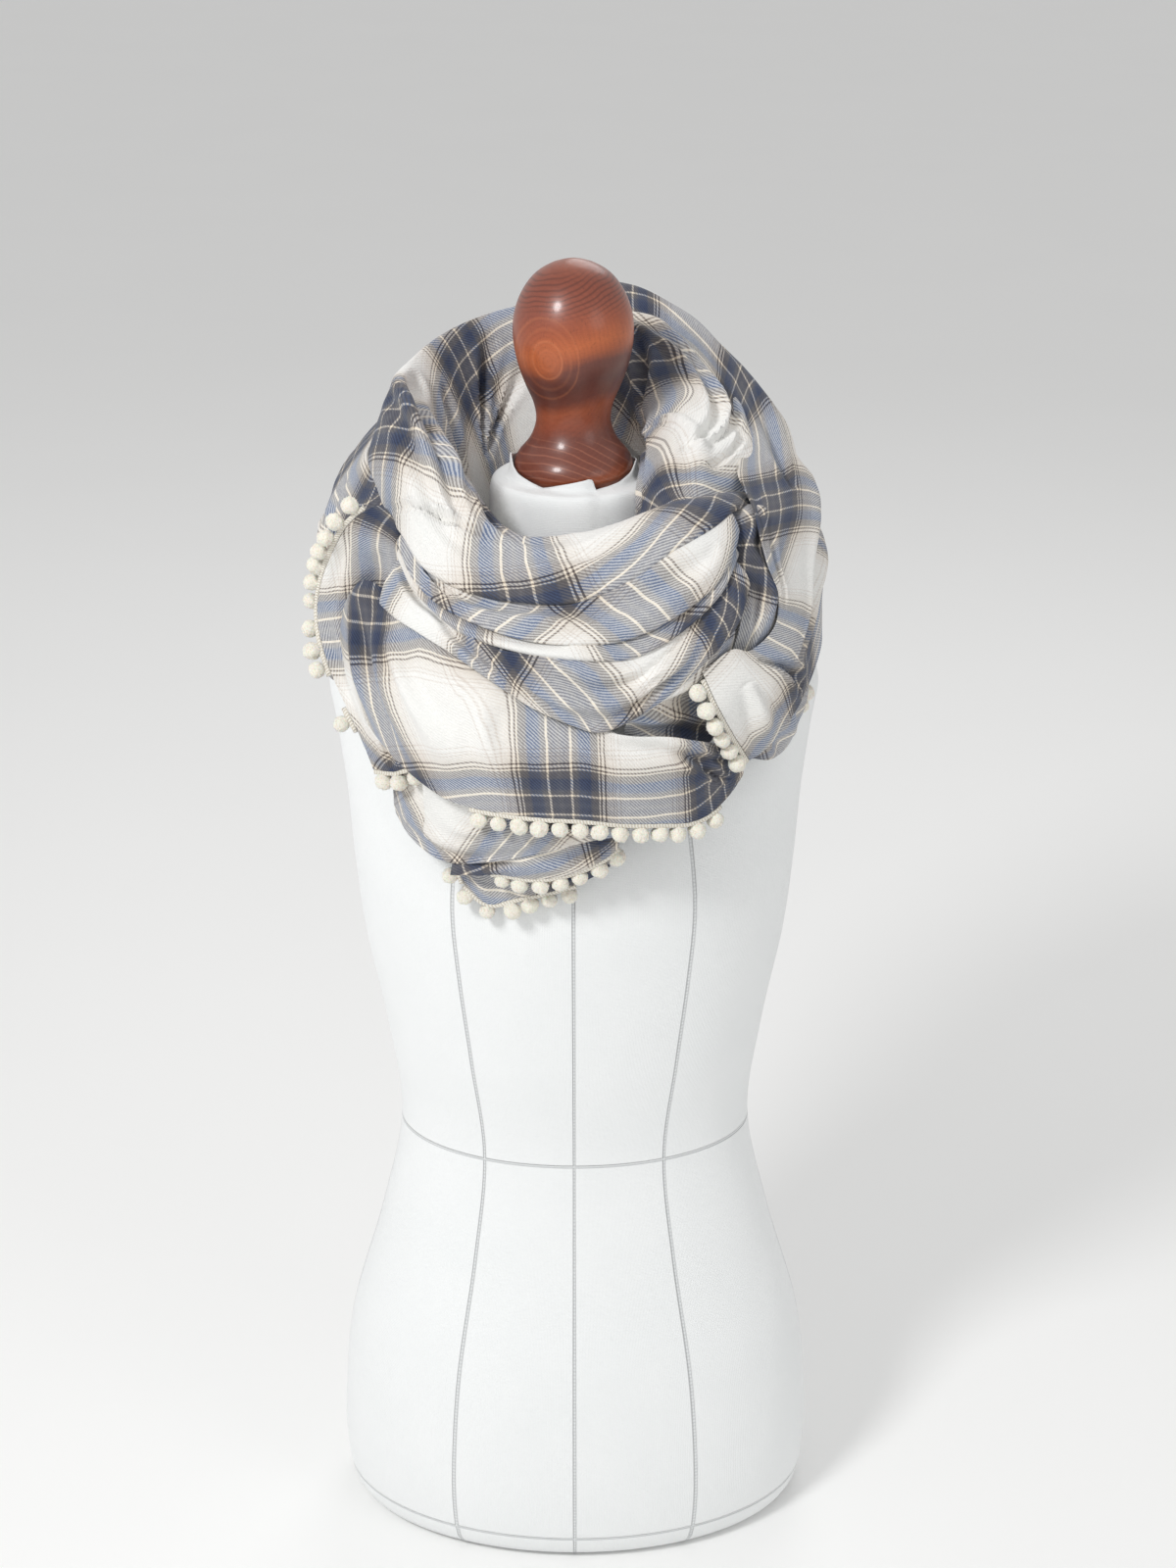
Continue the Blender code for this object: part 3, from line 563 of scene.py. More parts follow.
def clothGrid(piece, sections, closed=False):
    middle = sections[len(sections) // 2]
    width = sum(np.linalg.norm(b - a) for a, b in zip(middle, middle[1:])) / mm
    curl = piece.get("curl", 0.0)
    marks = columnMarks(width, curl)
    base = np.array([smoothLine(knots, marks) for knots in sections])
    normals = gridNormals(base, closed)
    steps = np.linalg.norm(np.diff(base, axis=1), axis=2) / mm
    down = np.concatenate([np.zeros((len(base), 1)), np.cumsum(steps, axis=1)], axis=1)
    toFoot = down[:, -1:] - down
    level = int(round(piece.get("level", 0.5) * (len(marks) - 1)))
    run = np.linalg.norm(np.diff(base[:, level], axis=0), axis=1) / mm
    along = np.concatenate([[0.0], np.cumsum(run)])[:, None] + np.zeros_like(down)
    length = along[-1, 0]
    seed = piece["seed"]
    folds = [
        (a * length, b * width, c * length, d * width, *size)
        for a, b, c, d, *size in piece["folds"]
    ]
    scaled = down * (width / np.maximum(down[:, -1:], 1e-6))
    depth = foldDepth(along, scaled, folds, seed)
    fade = np.sin(math.pi * np.clip(marks, 0.0, 1.0))[None, :] ** 0.8
    waves = unevenness(base, 34.0, seed) * piece.get("waves", 1.3)
    waves += unevenness(base, 13.0, seed + 5) * 0.30
    grid = base - normals * ((depth + waves) * fade)[:, :, None] * mm
    if curl:
        near = np.clip(curl - toFoot, 0.0, curl)
        grid -= normals * (curl - np.sqrt(np.maximum(curl ** 2 - near ** 2, 0.0)))[:, :, None] * mm
    return base, grid, along, toFoot, width, length


def settCoordinates(piece, along, toFoot):          # which thread of the plaid lies where
    run = along[:, 0]
    shares, degrees = zip(*piece["turns"])
    turn = np.radians(np.interp(run / run[-1], shares, degrees))
    between = (turn[1:] + turn[:-1]) / 2
    steps = np.diff(run) * piece["pace"]
    threads = []
    for first, gone, rise in (
        (piece["start"][0], steps * np.cos(between), np.sin(turn)),
        (piece["start"][1], -steps * np.sin(between), np.cos(turn)),
    ):
        atFoot = np.concatenate([[0.0], np.cumsum(gone)])
        threads.append(first + (atFoot[:, None] + toFoot * rise[:, None]) / cloth["settRepeat"])
    return threads


def quadFaces(rows, columns, closed=False):
    strips = rows if closed else rows - 1
    return [
        (i * columns + j, i * columns + j + 1,
         (i + 1) % rows * columns + j + 1, (i + 1) % rows * columns + j)
        for i in range(strips) for j in range(columns - 1)
    ]


def addPiece(name, vertices, faces, finish, coordinates=None, mapName=None):
    mesh = bpy.data.meshes.new(name)
    mesh.from_pydata([tuple(vertex) for vertex in vertices], [], faces)
    made = bpy.data.objects.new(name, mesh)
    bpy.context.scene.collection.objects.link(made)
    if coordinates is not None:
        layer = mesh.uv_layers.new(name=mapName)
        corners = np.zeros(len(mesh.loops), int)
        mesh.loops.foreach_get("vertex_index", corners)
        layer.data.foreach_set("uv", np.asarray(coordinates)[corners].ravel())
    mesh.shade_smooth()
    mesh.materials.append(slots[finish][0])
    return made


def selectOnly(piece):
    bpy.ops.object.select_all(action="DESELECT")
    piece.select_set(True)
    bpy.context.view_layer.objects.active = piece


def applyModifier(piece, kind, **settings):
    selectOnly(piece)
    modifier = piece.modifiers.new(kind.lower(), kind)
    for setting, value in settings.items():
        setattr(modifier, setting, value)
    bpy.ops.object.modifier_apply(modifier=modifier.name)


def settle(piece, finish, *nodes):
    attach(piece, "root")
    if nodes:
        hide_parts(*nodes)


def layCloth(piece, sections, closed=False):
    base, grid, along, toFoot, width, length = clothGrid(piece, sections, closed)
    rows, columns = grid.shape[:2]
    warp, weft = settCoordinates(piece, along, toFoot)
    points, pairs = grid, np.stack([warp, weft], axis=2)
    if closed:                                      # the last row repeats the first, for the map
        ending = pairs[-1:] + (pairs[-1:] - pairs[-2:-1])
        pairs = np.concatenate([pairs, ending])
        points = np.concatenate([grid, grid[:1]])
        rows += 1
    faces = quadFaces(rows, columns)
    made = addPiece(piece["name"], points.reshape(-1, 3), faces, "plaid", pairs.reshape(-1, 2), "sett")
    if closed:
        selectOnly(made)
        bpy.ops.object.mode_set(mode="EDIT")
        bpy.ops.mesh.select_all(action="SELECT")
        bpy.ops.mesh.remove_doubles(threshold=0.00001)
        bpy.ops.object.mode_set(mode="OBJECT")
    area = sum(face.area for face in made.data.polygons)
    applyModifier(made, "SOLIDIFY", thickness=cloth["thickness"] * mm, offset=-1.0,
                  use_quality_normals=True)
    selectOnly(made)
    bpy.ops.object.shade_smooth_by_angle(angle=math.radians(60))
    settle(made, "plaid", piece["node"])
    cutLength, cutWidth = length * mm, width * mm
    area = min(max(area, 0.3 * cutLength * cutWidth), cutLength * cutWidth)
    piece["made"], piece["base"], piece["grid"] = made, base, grid
    piece["cut"] = (cutWidth, cutLength, area)
    print(piece["name"], len(made.data.polygons), "faces")
    return made


# The stretches of the scarf, from the neck outwards and downwards

neckRoll = {
    "name": "neckRollCloth", "node": "neck_roll", "seed": 3, "curl": 3.0, "level": 0.6,
    "waves": 1.4,
    # start: warp and weft thread at the first foot corner, in repeats. pace: 1 on flat cloth.
    # turns: share along the stretch, and the degrees that the grain has turned there.
    "start": (0.66, -0.20), "pace": 0.95,
    "turns": ((0, 0), (0.3, 3), (0.45, 12), (0.56, 20), (0.68, 18), (0.78, 18), (0.9, 26), (1, 26)),
    "rows": (
        # angle, inner_radius, inner_height, rim_radius, rim_height, outer_radius, outer_height, bulge
        (100, 57, -44, 115, 18, 128, -42, 5),
        (120, 58, -42, 113, 42, 126, -40, 5),
        (140, 59, -40, 108, 66, 121, -36, 4),
        (160, 59, -40, 104, 80, 118, -34, 4),
        (180, 59, -40, 104, 90, 119, -34, 4),
        (200, 59, -42, 110, 92, 124, -34, 5),
        (220, 59, -44, 116, 84, 131, -34, 6),
        (240, 58, -45, 117, 74, 136, -34, 6),
        (260, 57, -46, 115, 66, 138, -26, 7),
        (278, 56.2, -46, 112, 66, 140, -8, 8),
        (293, 57, -48, 108, 57, 140, -4, 8),
        (306, 58, -50, 103, 38, 140, -13, 9),
        (317, 60, -52, 99, 16, 142, -30, 9),
        (328, 61, -54, 96, -4, 142, -37, 9),
        (342, 62, -56, 96, -14, 142, -40, 9),
        (360, 62, -56, 99, -9, 141, -40, 9),
        (375, 60, -54, 98, -4, 141, -27, 9),
        (388, 59, -52, 97, 1, 140, -10, 9),
        (400, 58, -50, 100, 5, 139, -1, 9),
        (413, 57.5, -48, 106, 5, 135, 5, 6),
        (427, 57, -46, 111, 4, 130, -8, 5),
        (442, 56.2, -44, 114, 8, 128, -34, 5),
    ),
    "folds": (
        # share along and down at both ends, width and depth in mm, bow
        (0.44, 0.50, 0.64, 0.66, 7, 12),
        (0.40, 0.40, 0.44, 0.15, 5, 8),
        (0.32, 0.45, 0.37, 0.20, 5, 9),
        (0.29, 0.35, 0.36, 0.20, 5, 8),
        (0.57, 0.95, 0.68, 0.62, 5, 9, -6),
        (0.72, 0.72, 0.80, 0.76, 10, 4),
        (0.50, 0.66, 0.66, 0.80, 7, 7),
        (0.67, 0.95, 0.76, 0.88, 8, 5),
        (0.02, 0.20, 0.09, 0.62, 9, 8),
        (0.10, 0.15, 0.19, 0.70, 10, 9),
        (0.21, 0.10, 0.24, 0.55, 9, 9),
        (0.30, 0.60, 0.40, 0.90, 8, 6),
        (0.62, 0.45, 0.73, 0.58, 8, 6),
        (0.86, 0.20, 0.93, 0.70, 9, 8),
        (0.14, 0.75, 0.30, 0.80, 8, -5),
    ),
}

innerFold = {
    "name": "innerFoldCloth", "node": "inner_fold", "seed": 5, "curl": 0.0, "level": 0.5,
    "waves": 1.2,
    "start": (-0.20, -0.09), "pace": 1.0,
    "turns": ((0, 60), (1, 55)),
    "rows": (
        # five places on a section, from its low edge beside the neck: angle, radius, height
        (38, 60, -38, 38, 66, -25, 38, 80, -12, 38, 92, -1, 38, 103, 6),
        (45, 58.5, -27, 45, 59, -5, 45, 76, 12, 45, 98, 9, 45, 107, 8),
        (55, 60, -20, 55, 54, 12, 55, 74, 28, 55, 106, 15, 55, 113, 5),
        (68, 60, -16, 68, 50, 20, 68, 75, 38, 68, 113, 14, 68, 120, 3),
        (82, 60, -12, 82, 49, 28, 82, 76, 46, 82, 116, 20, 82, 128, 8),
        (100, 60, -8, 100, 50, 34, 100, 78, 54, 100, 116, 33, 100, 132, 18),
        (120, 61, -2, 120, 56, 38, 120, 82, 61, 120, 112, 55, 120, 129, 42),
        (138, 64, 4, 138, 64, 44, 138, 87, 73, 138, 107, 77, 138, 124, 64),
        (150, 67, 10, 150, 72, 52, 150, 90, 80, 150, 104, 89, 150, 119, 80),
        (166, 72, 14, 166, 81, 60, 166, 95, 84, 166, 103, 91, 166, 116, 84),
    ),
    "folds": (
        (0.90, 0.68, 0.75, 0.33, 5, 9),
        (0.90, 0.80, 0.30, 0.62, 5, 8),
        (0.80, 0.90, 0.36, 0.70, 6, 8),
        (0.54, 0.82, 0.30, 0.80, 5, 7),
        (0.84, 0.17, 0.10, 0.37, 5, 6),
        (0.50, 0.36, 0.20, 0.90, 6, -5),
        (0.80, 0.70, 0.57, 0.74, 7, -5),
        (0.62, 0.25, 0.35, 0.20, 5, 6),
    ),
}

secondRoll = {
    "name": "secondRollCloth", "node": "second_roll", "seed": 7, "curl": 2.6, "level": 1.0,
    "waves": 0.9,
    "start": (0.90, 0.58), "pace": 0.9,
    "turns": ((0, 52), (0.33, 52), (0.5, 48), (0.67, 32), (0.83, 22), (1, 22)),
    "rows": (
        # angle, foot_radius, foot_height, bulge
        (-54, 142, -19, 0),
        (-44, 149, -33, 1),
        (-34, 155, -44, 2),
        (-22, 158, -53, 3),
        (-10, 159, -60, 3),
        (2, 159, -62, 3),
        (12, 158, -61, 3),
        (23, 157, -52, 4),
        (34, 156, -38, 5),
        (41, 153, -25, 4),
        (45, 149, -16, 3),
        (49, 143, -9, 1),
    ),
    "folds": (
        (0.17, 0.46, 0.50, 0.33, 6, 5),
        (0.48, 0.53, 0.87, 0.53, 7, 5),
        (0.37, 0.86, 0.64, 0.73, 6, 4),
        (0.05, 0.30, 0.22, 0.70, 5, 4),
    ),
}

thinRoll = {
    "name": "thinRollCloth", "node": "thin_roll", "seed": 9, "curl": 2.6, "level": 1.0,
    "waves": 0.6,
    "start": (0.45, -0.30), "pace": 0.9,
    "turns": ((0, 5), (0.4, 8), (0.55, 25), (0.75, 48), (1, 45)),
    "rows": (
        # angle, foot_radius, foot_height, bulge
        (-53, 144, -27, 0),
        (-49, 147, -33, 0),
        (-44, 151, -41, 0),
        (-36, 156, -50, 0.5),
        (-26, 161, -60, 1),
        (-14, 162, -67, 1.5),
        (0, 163, -71, 1.5),
        (12, 163, -72, 1.5),
        (21, 161, -66, 2),
        (30, 159, -54, 2),
        (37, 157, -42, 2),
        (41, 154, -33, 1),
        (44, 151, -26, 0),
        (46, 149, -21, 0),
    ),
    "folds": (
        (0.20, 0.60, 0.50, 0.45, 5, 2.5),
        (0.60, 0.50, 0.85, 0.60, 5, 2.5),
    ),
}

vDrape = {
    "name": "vDrapeCloth", "node": "v_drape", "seed": 11, "curl": 2.6, "level": 0.6,
    "waves": 1.2,
    "start": (0.34, 0.90), "pace": 1.15,
    "turns": ((0, 72), (0.17, 75), (0.33, 74), (0.47, 62), (0.55, 35), (0.67, 20), (0.85, 20), (1, 35)),
    "rows": (
        # angle, foot_radius, foot_height, bulge
        (-52.5, 159, -57, 3),
        (-46, 161, -61, 3),
        (-38, 162, -66, 3),
        (-28, 165, -74, 3),
        (-18, 167, -88, 4),
        (-9, 168, -103, 5),
        (-1, 169, -113, 6),
        (6, 169, -119, 6),
        (14, 168, -111, 6),
        (23, 168, -96, 5),
        (31, 167, -80, 5),
        (38, 166, -66, 5),
        (42, 164, -54, 4),
        (45, 161, -38, 3),
    ),
    "folds": (
        (0.02, 0.33, 0.18, 0.38, 5, 6),
        (0.18, 0.38, 0.36, 0.85, 6, 6),
        (0.35, 0.38, 0.76, 0.38, 7, 6, 8),
        (0.52, 0.90, 0.80, 0.70, 7, 6),
        (0.40, 0.76, 0.53, 0.90, 5, 4),
        (0.62, 0.35, 0.80, 0.75, 8, -4),
    ),
}

lowerDrape = {
    "name": "lowerDrapeCloth", "node": "lower_drape", "seed": 13, "curl": 2.0, "level": 1.0,
    "waves": 1.0,
    "start": (0.96, 0.49), "pace": 0.9,
    "turns": ((0, 78), (1, 72)),
    "rows": (
        # angle, foot_radius, foot_height, bulge
        (12, 158, -124, -2),
        (18, 157, -134, -2),
        (28, 152, -142, -4),
        (35, 149, -146, -4),
        (40, 148, -142, -4),
    ),
    "folds": (
        (0.10, 0.30, 0.80, 0.60, 7, 6),
        (0.20, 0.75, 0.90, 0.85, 5, 4),
    ),
}

outerWrap = {
    "name": "outerWrapCloth", "node": "outer_wrap", "seed": 15, "curl": 0.0, "level": 0.5,
    "waves": 1.5,
    "start": (0.26, 1.14), "pace": 1.0,
    "turns": ((0, 18), (0.17, 12), (0.33, 6), (0.5, 10), (0.67, 12), (0.83, 8), (1, 5)),
    "rows": (
        # tuck angle, radius, height, crown angle, radius, height, foot angle, radius, height
        (30, 165, -86, 33, 174, -112, 42, 172, -153),
        (38, 165, -76, 41, 174, -104, 47, 172, -150),
        (44, 166, -80, 49, 175, -102, 54, 172, -140),
        (51, 169, -68, 56, 176, -88, 60, 172, -132),
        (52, 168, -46, 62, 174, -68, 67, 171, -122),
        (50, 163, -24, 68, 170, -46, 76, 170, -114),
        (54, 146, 0, 78, 166, -24, 88, 170, -108),
        (68, 117, 16, 93, 160, -4, 101, 168, -102),
        (88, 113, 24, 108, 152, 22, 114, 166, -96),
        (110, 111, 42, 124, 144, 52, 128, 163, -88),
        (132, 110, 68, 141, 135, 80, 143, 159, -78),
        (154, 103, 83, 157, 127, 101, 158, 155, -70),
        (175, 106, 90, 175, 127, 104, 175, 153, -66),
        (193, 111, 87, 193, 135, 92, 193, 157, -68),
        (211, 122, 72, 211, 145, 62, 211, 163, -76),
        (229, 129, 50, 229, 155, 30, 229, 167, -88),
        (247, 134, 34, 247, 162, 2, 247, 171, -99),
        (262, 136, 24, 263, 167, -22, 264, 173, -110),
        (277, 138.5, 20, 278, 169, -36, 279, 173, -120),
        (289, 138, 10, 289, 164, -38, 288, 168, -126),
        (298, 138, 0, 298, 151, -30, 297, 156, -104),
    ),
    "folds": (
        (0.49, 0.03, 0.40, 0.11, 7, 9),
        (0.38, 0.15, 0.25, 0.28, 7, 8),
        (0.25, 0.05, 0.18, 0.02, 6, 9),
        (0.20, 0.08, 0.12, 0.07, 7, 8),
        (0.06, 0.13, 0.10, 0.84, 6, 8),
        (0.03, 0.34, 0.04, 1.00, 8, -6),
        (0.10, 0.45, 0.32, 0.60, 10, 8),
        (0.30, 0.40, 0.52, 0.50, 9, 8),
        (0.44, 0.75, 0.62, 0.60, 10, 9),
        (0.50, 0.30, 0.63, 0.42, 8, 8),
        (0.60, 0.55, 0.78, 0.72, 10, 9),
        (0.70, 0.30, 0.86, 0.45, 9, 9),
        (0.80, 0.62, 0.93, 0.50, 8, 8),
        (0.56, 0.85, 0.72, 0.90, 7, 6),
        (0.90, 0.20, 0.97, 0.70, 7, 6),
    ),
}

backBand = {
    "name": "backBandCloth", "node": "back_band", "seed": 17, "curl": 2.6, "level": 1.0,
    "waves": 1.2,
    "start": (0.25, 0.10), "pace": 1.0,
    "turns": ((0, 10), (1, 10)),
    "rows": (
        # angle, foot_radius, foot_height, bulge
        (98, 158, -112, 0),
        (112, 156, -110, 2),
        (126, 152, -108, 3),
        (144, 147, -104, 4),
        (164, 142, -100, 4),
        (184, 142, -98, 4),
        (204, 146, -102, 4),
        (224, 152, -109, 3),
        (240, 157, -116, 2),
        (256, 162, -120, 0),
    ),
    "folds": (
        (0.05, 0.50, 0.30, 0.70, 8, 6),
        (0.25, 0.35, 0.50, 0.60, 9, 6),
        (0.48, 0.70, 0.72, 0.45, 8, 6),
        (0.70, 0.50, 0.95, 0.72, 8, 6),
    ),
}

rightFold = {
    "name": "rightFoldCloth", "node": "right_fold", "seed": 19, "curl": 0.0, "level": 0.5,
    "waves": 0.8,
    "start": (0.80, 0.35), "pace": 1.0,
    "turns": ((0, 80), (1, 76)),
    "rows": (
        # right angle, radius, height, middle angle, radius, height, left angle, radius, height
        (60, 125, 1, 56, 128, 2, 50, 122, -3),
        (60, 145, 1, 54, 146, -2, 49.5, 137, -9),
        (56, 148, -14, 52, 151, -14, 48, 139, -18),
        (55.5, 154, -27, 51, 158, -25, 46, 143, -27),
        (55, 162, -42, 50.5, 165, -40, 45, 151, -38),
        (54, 165, -58, 50, 167, -56, 44, 157, -52),
        (52, 165, -75, 47, 164, -72, 42.5, 158, -68),
        (50, 161, -93, 45, 159, -91, 41, 155, -86),
    ),
    "folds": (
        (0.32, 0.45, 0.74, 0.61, 5, 6),
        (0.15, 0.30, 0.50, 0.25, 5, 5),
        (0.45, 0.75, 0.90, 0.60, 5, 4),
    ),
}

rightTail = {
    "name": "rightTailCloth", "node": "right_tail", "seed": 21, "curl": 2.0, "level": 1.0,
    "waves": 0.8,
    "start": (0.15, 0.17), "pace": 0.9,
    "turns": ((0, 50), (1, 45)),
    "rows": (
        # angle, foot_radius, foot_height, bulge
        (47, 161, -160, 1),
        (54, 161, -167, 2),
        (62, 160, -168, 2),
        (69, 160, -162, 1),
        (72, 161, -152, 1),
    ),
    "folds": (
        (0.20, 0.40, 0.45, 0.90, 6, 5),
        (0.60, 0.30, 0.80, 0.90, 6, 5),
    ),
}

leftFold = {
    "name": "leftFoldCloth", "node": "left_fold", "seed": 23, "curl": 0.0, "level": 1.0,
    "waves": 1.0,
    "start": (0.02, 0.87), "pace": 1.0,
    "turns": ((0, 20), (0.3, 25), (0.5, 20), (0.75, 25), (1, 45)),
    "rows": (
        # four places on a section, from the tucked side to the hem: angle, radius, height
        (-53, 132, -24, -55, 134, -14, -57, 139, -5, -60, 143, 3),
        (-52, 139, -28, -54.15, 142.5, -18, -55.5, 149, -8, -58, 157, 3),
        (-51, 138, -34, -54.3, 144, -24, -58, 154, -16, -61.5, 166, -9),
        (-49, 138, -44, -54, 146, -36, -60, 157, -33, -66, 172, -30),
        (-48.5, 139, -62, -53.5, 147, -58, -62, 161, -56, -70, 177, -54),
        (-49, 148, -86, -52, 153, -84, -62, 166, -82, -72, 179, -80),
        (-46, 153, -112, -49, 157, -110, -58, 167, -108, -67, 178, -104),
        (-43, 155, -135, -45, 158, -134, -52, 166, -134, -59, 175, -130),
        (-40.5, 155, -151, -42, 157, -150, -48, 164, -154, -55, 170, -153),
        (-39.5, 154, -160, -41, 156, -160, -47, 162, -168, -53, 166, -171),
    ),
    "folds": (
        (0.50, 0.89, 0.85, 0.93, 7, 8),
        (0.14, 0.96, 0.45, 0.82, 6, 6),
        (0.25, 0.45, 0.60, 0.50, 8, 6),
        (0.60, 0.40, 0.95, 0.55, 7, 6),
    ),
}

frontPanel = {
    "name": "frontPanelCloth", "node": "front_panel", "seed": 25, "curl": 0.0, "level": 1.0,
    "waves": 1.2,
    "start": (0.33, 0.76), "pace": 1.04,
    "turns": ((0, 32), (0.15, 38), (0.3, 38), (0.4, 26), (0.5, 6), (0.65, 1), (0.8, 5), (1, 22)),
    "rows": (
        # angle, tuck_radius, tuck_height, top_radius, top_height, foot_radius, foot_height, bulge
        (-63, 168, -62, 170, -68, 172, -90, 1),
        (-60, 163.6, -48, 168.8, -56, 173, -110, 2),
        (-57, 158, -44, 165, -51, 172, -121, 5),
        (-52.5, 149, -52, 155.5, -60, 172, -134, 11),
        (-44, 150, -54, 157, -64, 172, -150, 11),
        (-36, 151, -58, 158, -69, 171, -163, 10),
        (-28, 153, -66, 161, -77, 169, -173, 9),
        (-18, 155, -80, 163, -91, 168, -176, 7),
        (-8, 156, -96, 164, -106, 168, -177, 6),
        (2, 157, -107, 165, -117, 168, -178, 5),
        (11, 165, -123, 169, -121, 168, -182, 4),
        (20, 166, -129, 170, -125, 168, -185, 4),
        (27, 165, -135, 169, -131, 167, -188, 3),
        (33, 161, -141, 165, -137, 165, -186, 2),
        (39, 157, -148, 161, -144, 163, -178, 2),
        (44, 155, -154, 159, -151, 161, -168, 1),
    ),
    "folds": (
        (0.11, 0.29, 0.27, 0.97, 8, 8),
        (0.69, 0.15, 0.92, 0.34, 7, 6),
        (0.84, 0.22, 0.94, 0.68, 6, 6),
        (0.45, 0.20, 0.48, 0.65, 15, -5),
        (0.22, 0.27, 0.39, 0.68, 10, -6),
        (0.57, 0.20, 0.77, 0.53, 12, -4),
    ),
}

lowFold = {
    "name": "lowFoldCloth", "node": "low_fold", "seed": 27, "curl": 2.6, "level": 1.0,
    "waves": 1.0,
    "start": (0.89, 0.62), "pace": 1.0,
    "turns": ((0, 52), (0.35, 52), (0.7, 45), (1, 38)),
    "rows": (
        # angle, foot_radius, foot_height, bulge
        (-51, 153, -206, 0),
        (-46, 151, -220, 1),
        (-35, 150, -229, 2),
        (-21, 149, -222, 2),
        (-8, 149, -212, 2),
        (3, 148, -204, 1),
        (14, 149, -200, 0),
    ),
    "folds": (
        (0.02, 0.95, 0.70, 0.95, 6, 6),
        (0.12, 0.95, 0.55, 0.95, 5, 5),
        (0.31, 0.50, 0.48, 0.59, 7, -4),
        (0.55, 0.40, 0.95, 0.60, 7, 5),
    ),
}

tipOver = {
    "name": "tipOverCloth", "node": "tip_over", "seed": 29, "curl": 0.0, "level": 1.0,
    "waves": 0.8,
    "start": (0.97, 0.97), "pace": 1.0,
    "turns": ((0, 25), (1, 8)),
    "rows": (
        # angle, foot_radius, foot_height, bulge
        (-33, 150, -236, 0),
        (-26, 146, -234, 0),
        (-20, 143, -232, 1),
        (-12, 142, -233, 2),
        (-5, 142, -231, 3),
        (2, 142, -226, 3),
        (8, 143, -218, 2),
        (12, 144, -210, 1),
    ),
    "folds": (
        (0.51, 0.42, 0.90, 0.75, 5, 4),
        (0.15, 0.50, 0.40, 0.60, 5, 4),
    ),
}

tipUnder = {
    "name": "tipUnderCloth", "node": "tip_under", "seed": 31, "curl": 0.0, "level": 1.0,
    "waves": 0.8,
    "start": (0.79, 0.70), "pace": 1.0,
    "turns": ((0, 75), (1, 50)),
    "rows": (
        # angle, foot_radius, foot_height, bulge
        (-32, 137, -248, 0),
        (-26, 131, -261, 1),
        (-18, 128, -255, 1),
        (-6, 126, -248, 0),
        (4, 126, -240, 0),
        (11, 128, -230, 0),
    ),
    "folds": (
        (0.20, 0.55, 0.35, 0.95, 5, 5),
        (0.50, 0.50, 0.80, 0.70, 6, 4),
    ),
}

layCloth(neckRoll, ringSections(neckRoll["rows"]), closed=True)
layCloth(innerFold, freeSections(innerFold["rows"]))
layCloth(secondRoll, hangingSections(secondRoll["rows"], [footEdge(neckRoll["base"], closed=True)]))
layCloth(thinRoll, hangingSections(thinRoll["rows"], [footEdge(secondRoll["base"])]))
layCloth(vDrape, hangingSections(vDrape["rows"], [footEdge(thinRoll["base"])], deep=8.0))
layCloth(lowerDrape, hangingSections(lowerDrape["rows"], [footEdge(vDrape["base"])], deep=7.5))
layCloth(outerWrap, freeSections(outerWrap["rows"]))
layCloth(backBand, hangingSections(backBand["rows"], [footEdge(outerWrap["base"])]))
layCloth(rightFold, freeSections(rightFold["rows"]))
layCloth(rightTail, hangingSections(rightTail["rows"], [footEdge(outerWrap["base"])]))
layCloth(leftFold, freeSections(leftFold["rows"]))
layCloth(frontPanel, panelSections(frontPanel["rows"]))
aboveLow = [footEdge(frontPanel["base"]), endEdge(leftFold["base"], -1)]
layCloth(lowFold, hangingSections(lowFold["rows"], aboveLow, cloth["trimRoom"], deep=0.0))
layCloth(tipOver, hangingSections(tipOver["rows"], [footEdge(lowFold["base"])]))
aboveTip = [footEdge(tipOver["base"])]
layCloth(tipUnder, hangingSections(tipUnder["rows"], aboveTip, cloth["trimRoom"], deep=1.5))


# Pompoms on their tape

pompom = {
    "diameter": 11.5, "pitch": 13.3, "sink": 1.0, "lumps": 0.55, "fibres": 70, "fibreLength": 1.1,
    "tapeWidth": 3.4, "tapeThickness": 1.5, "tapeGap": 0.3, "tapeSides": 10, "kinds": 5,
    "seed": 7,              # noise_vector takes its offsets from a seed, by default from the clock
}


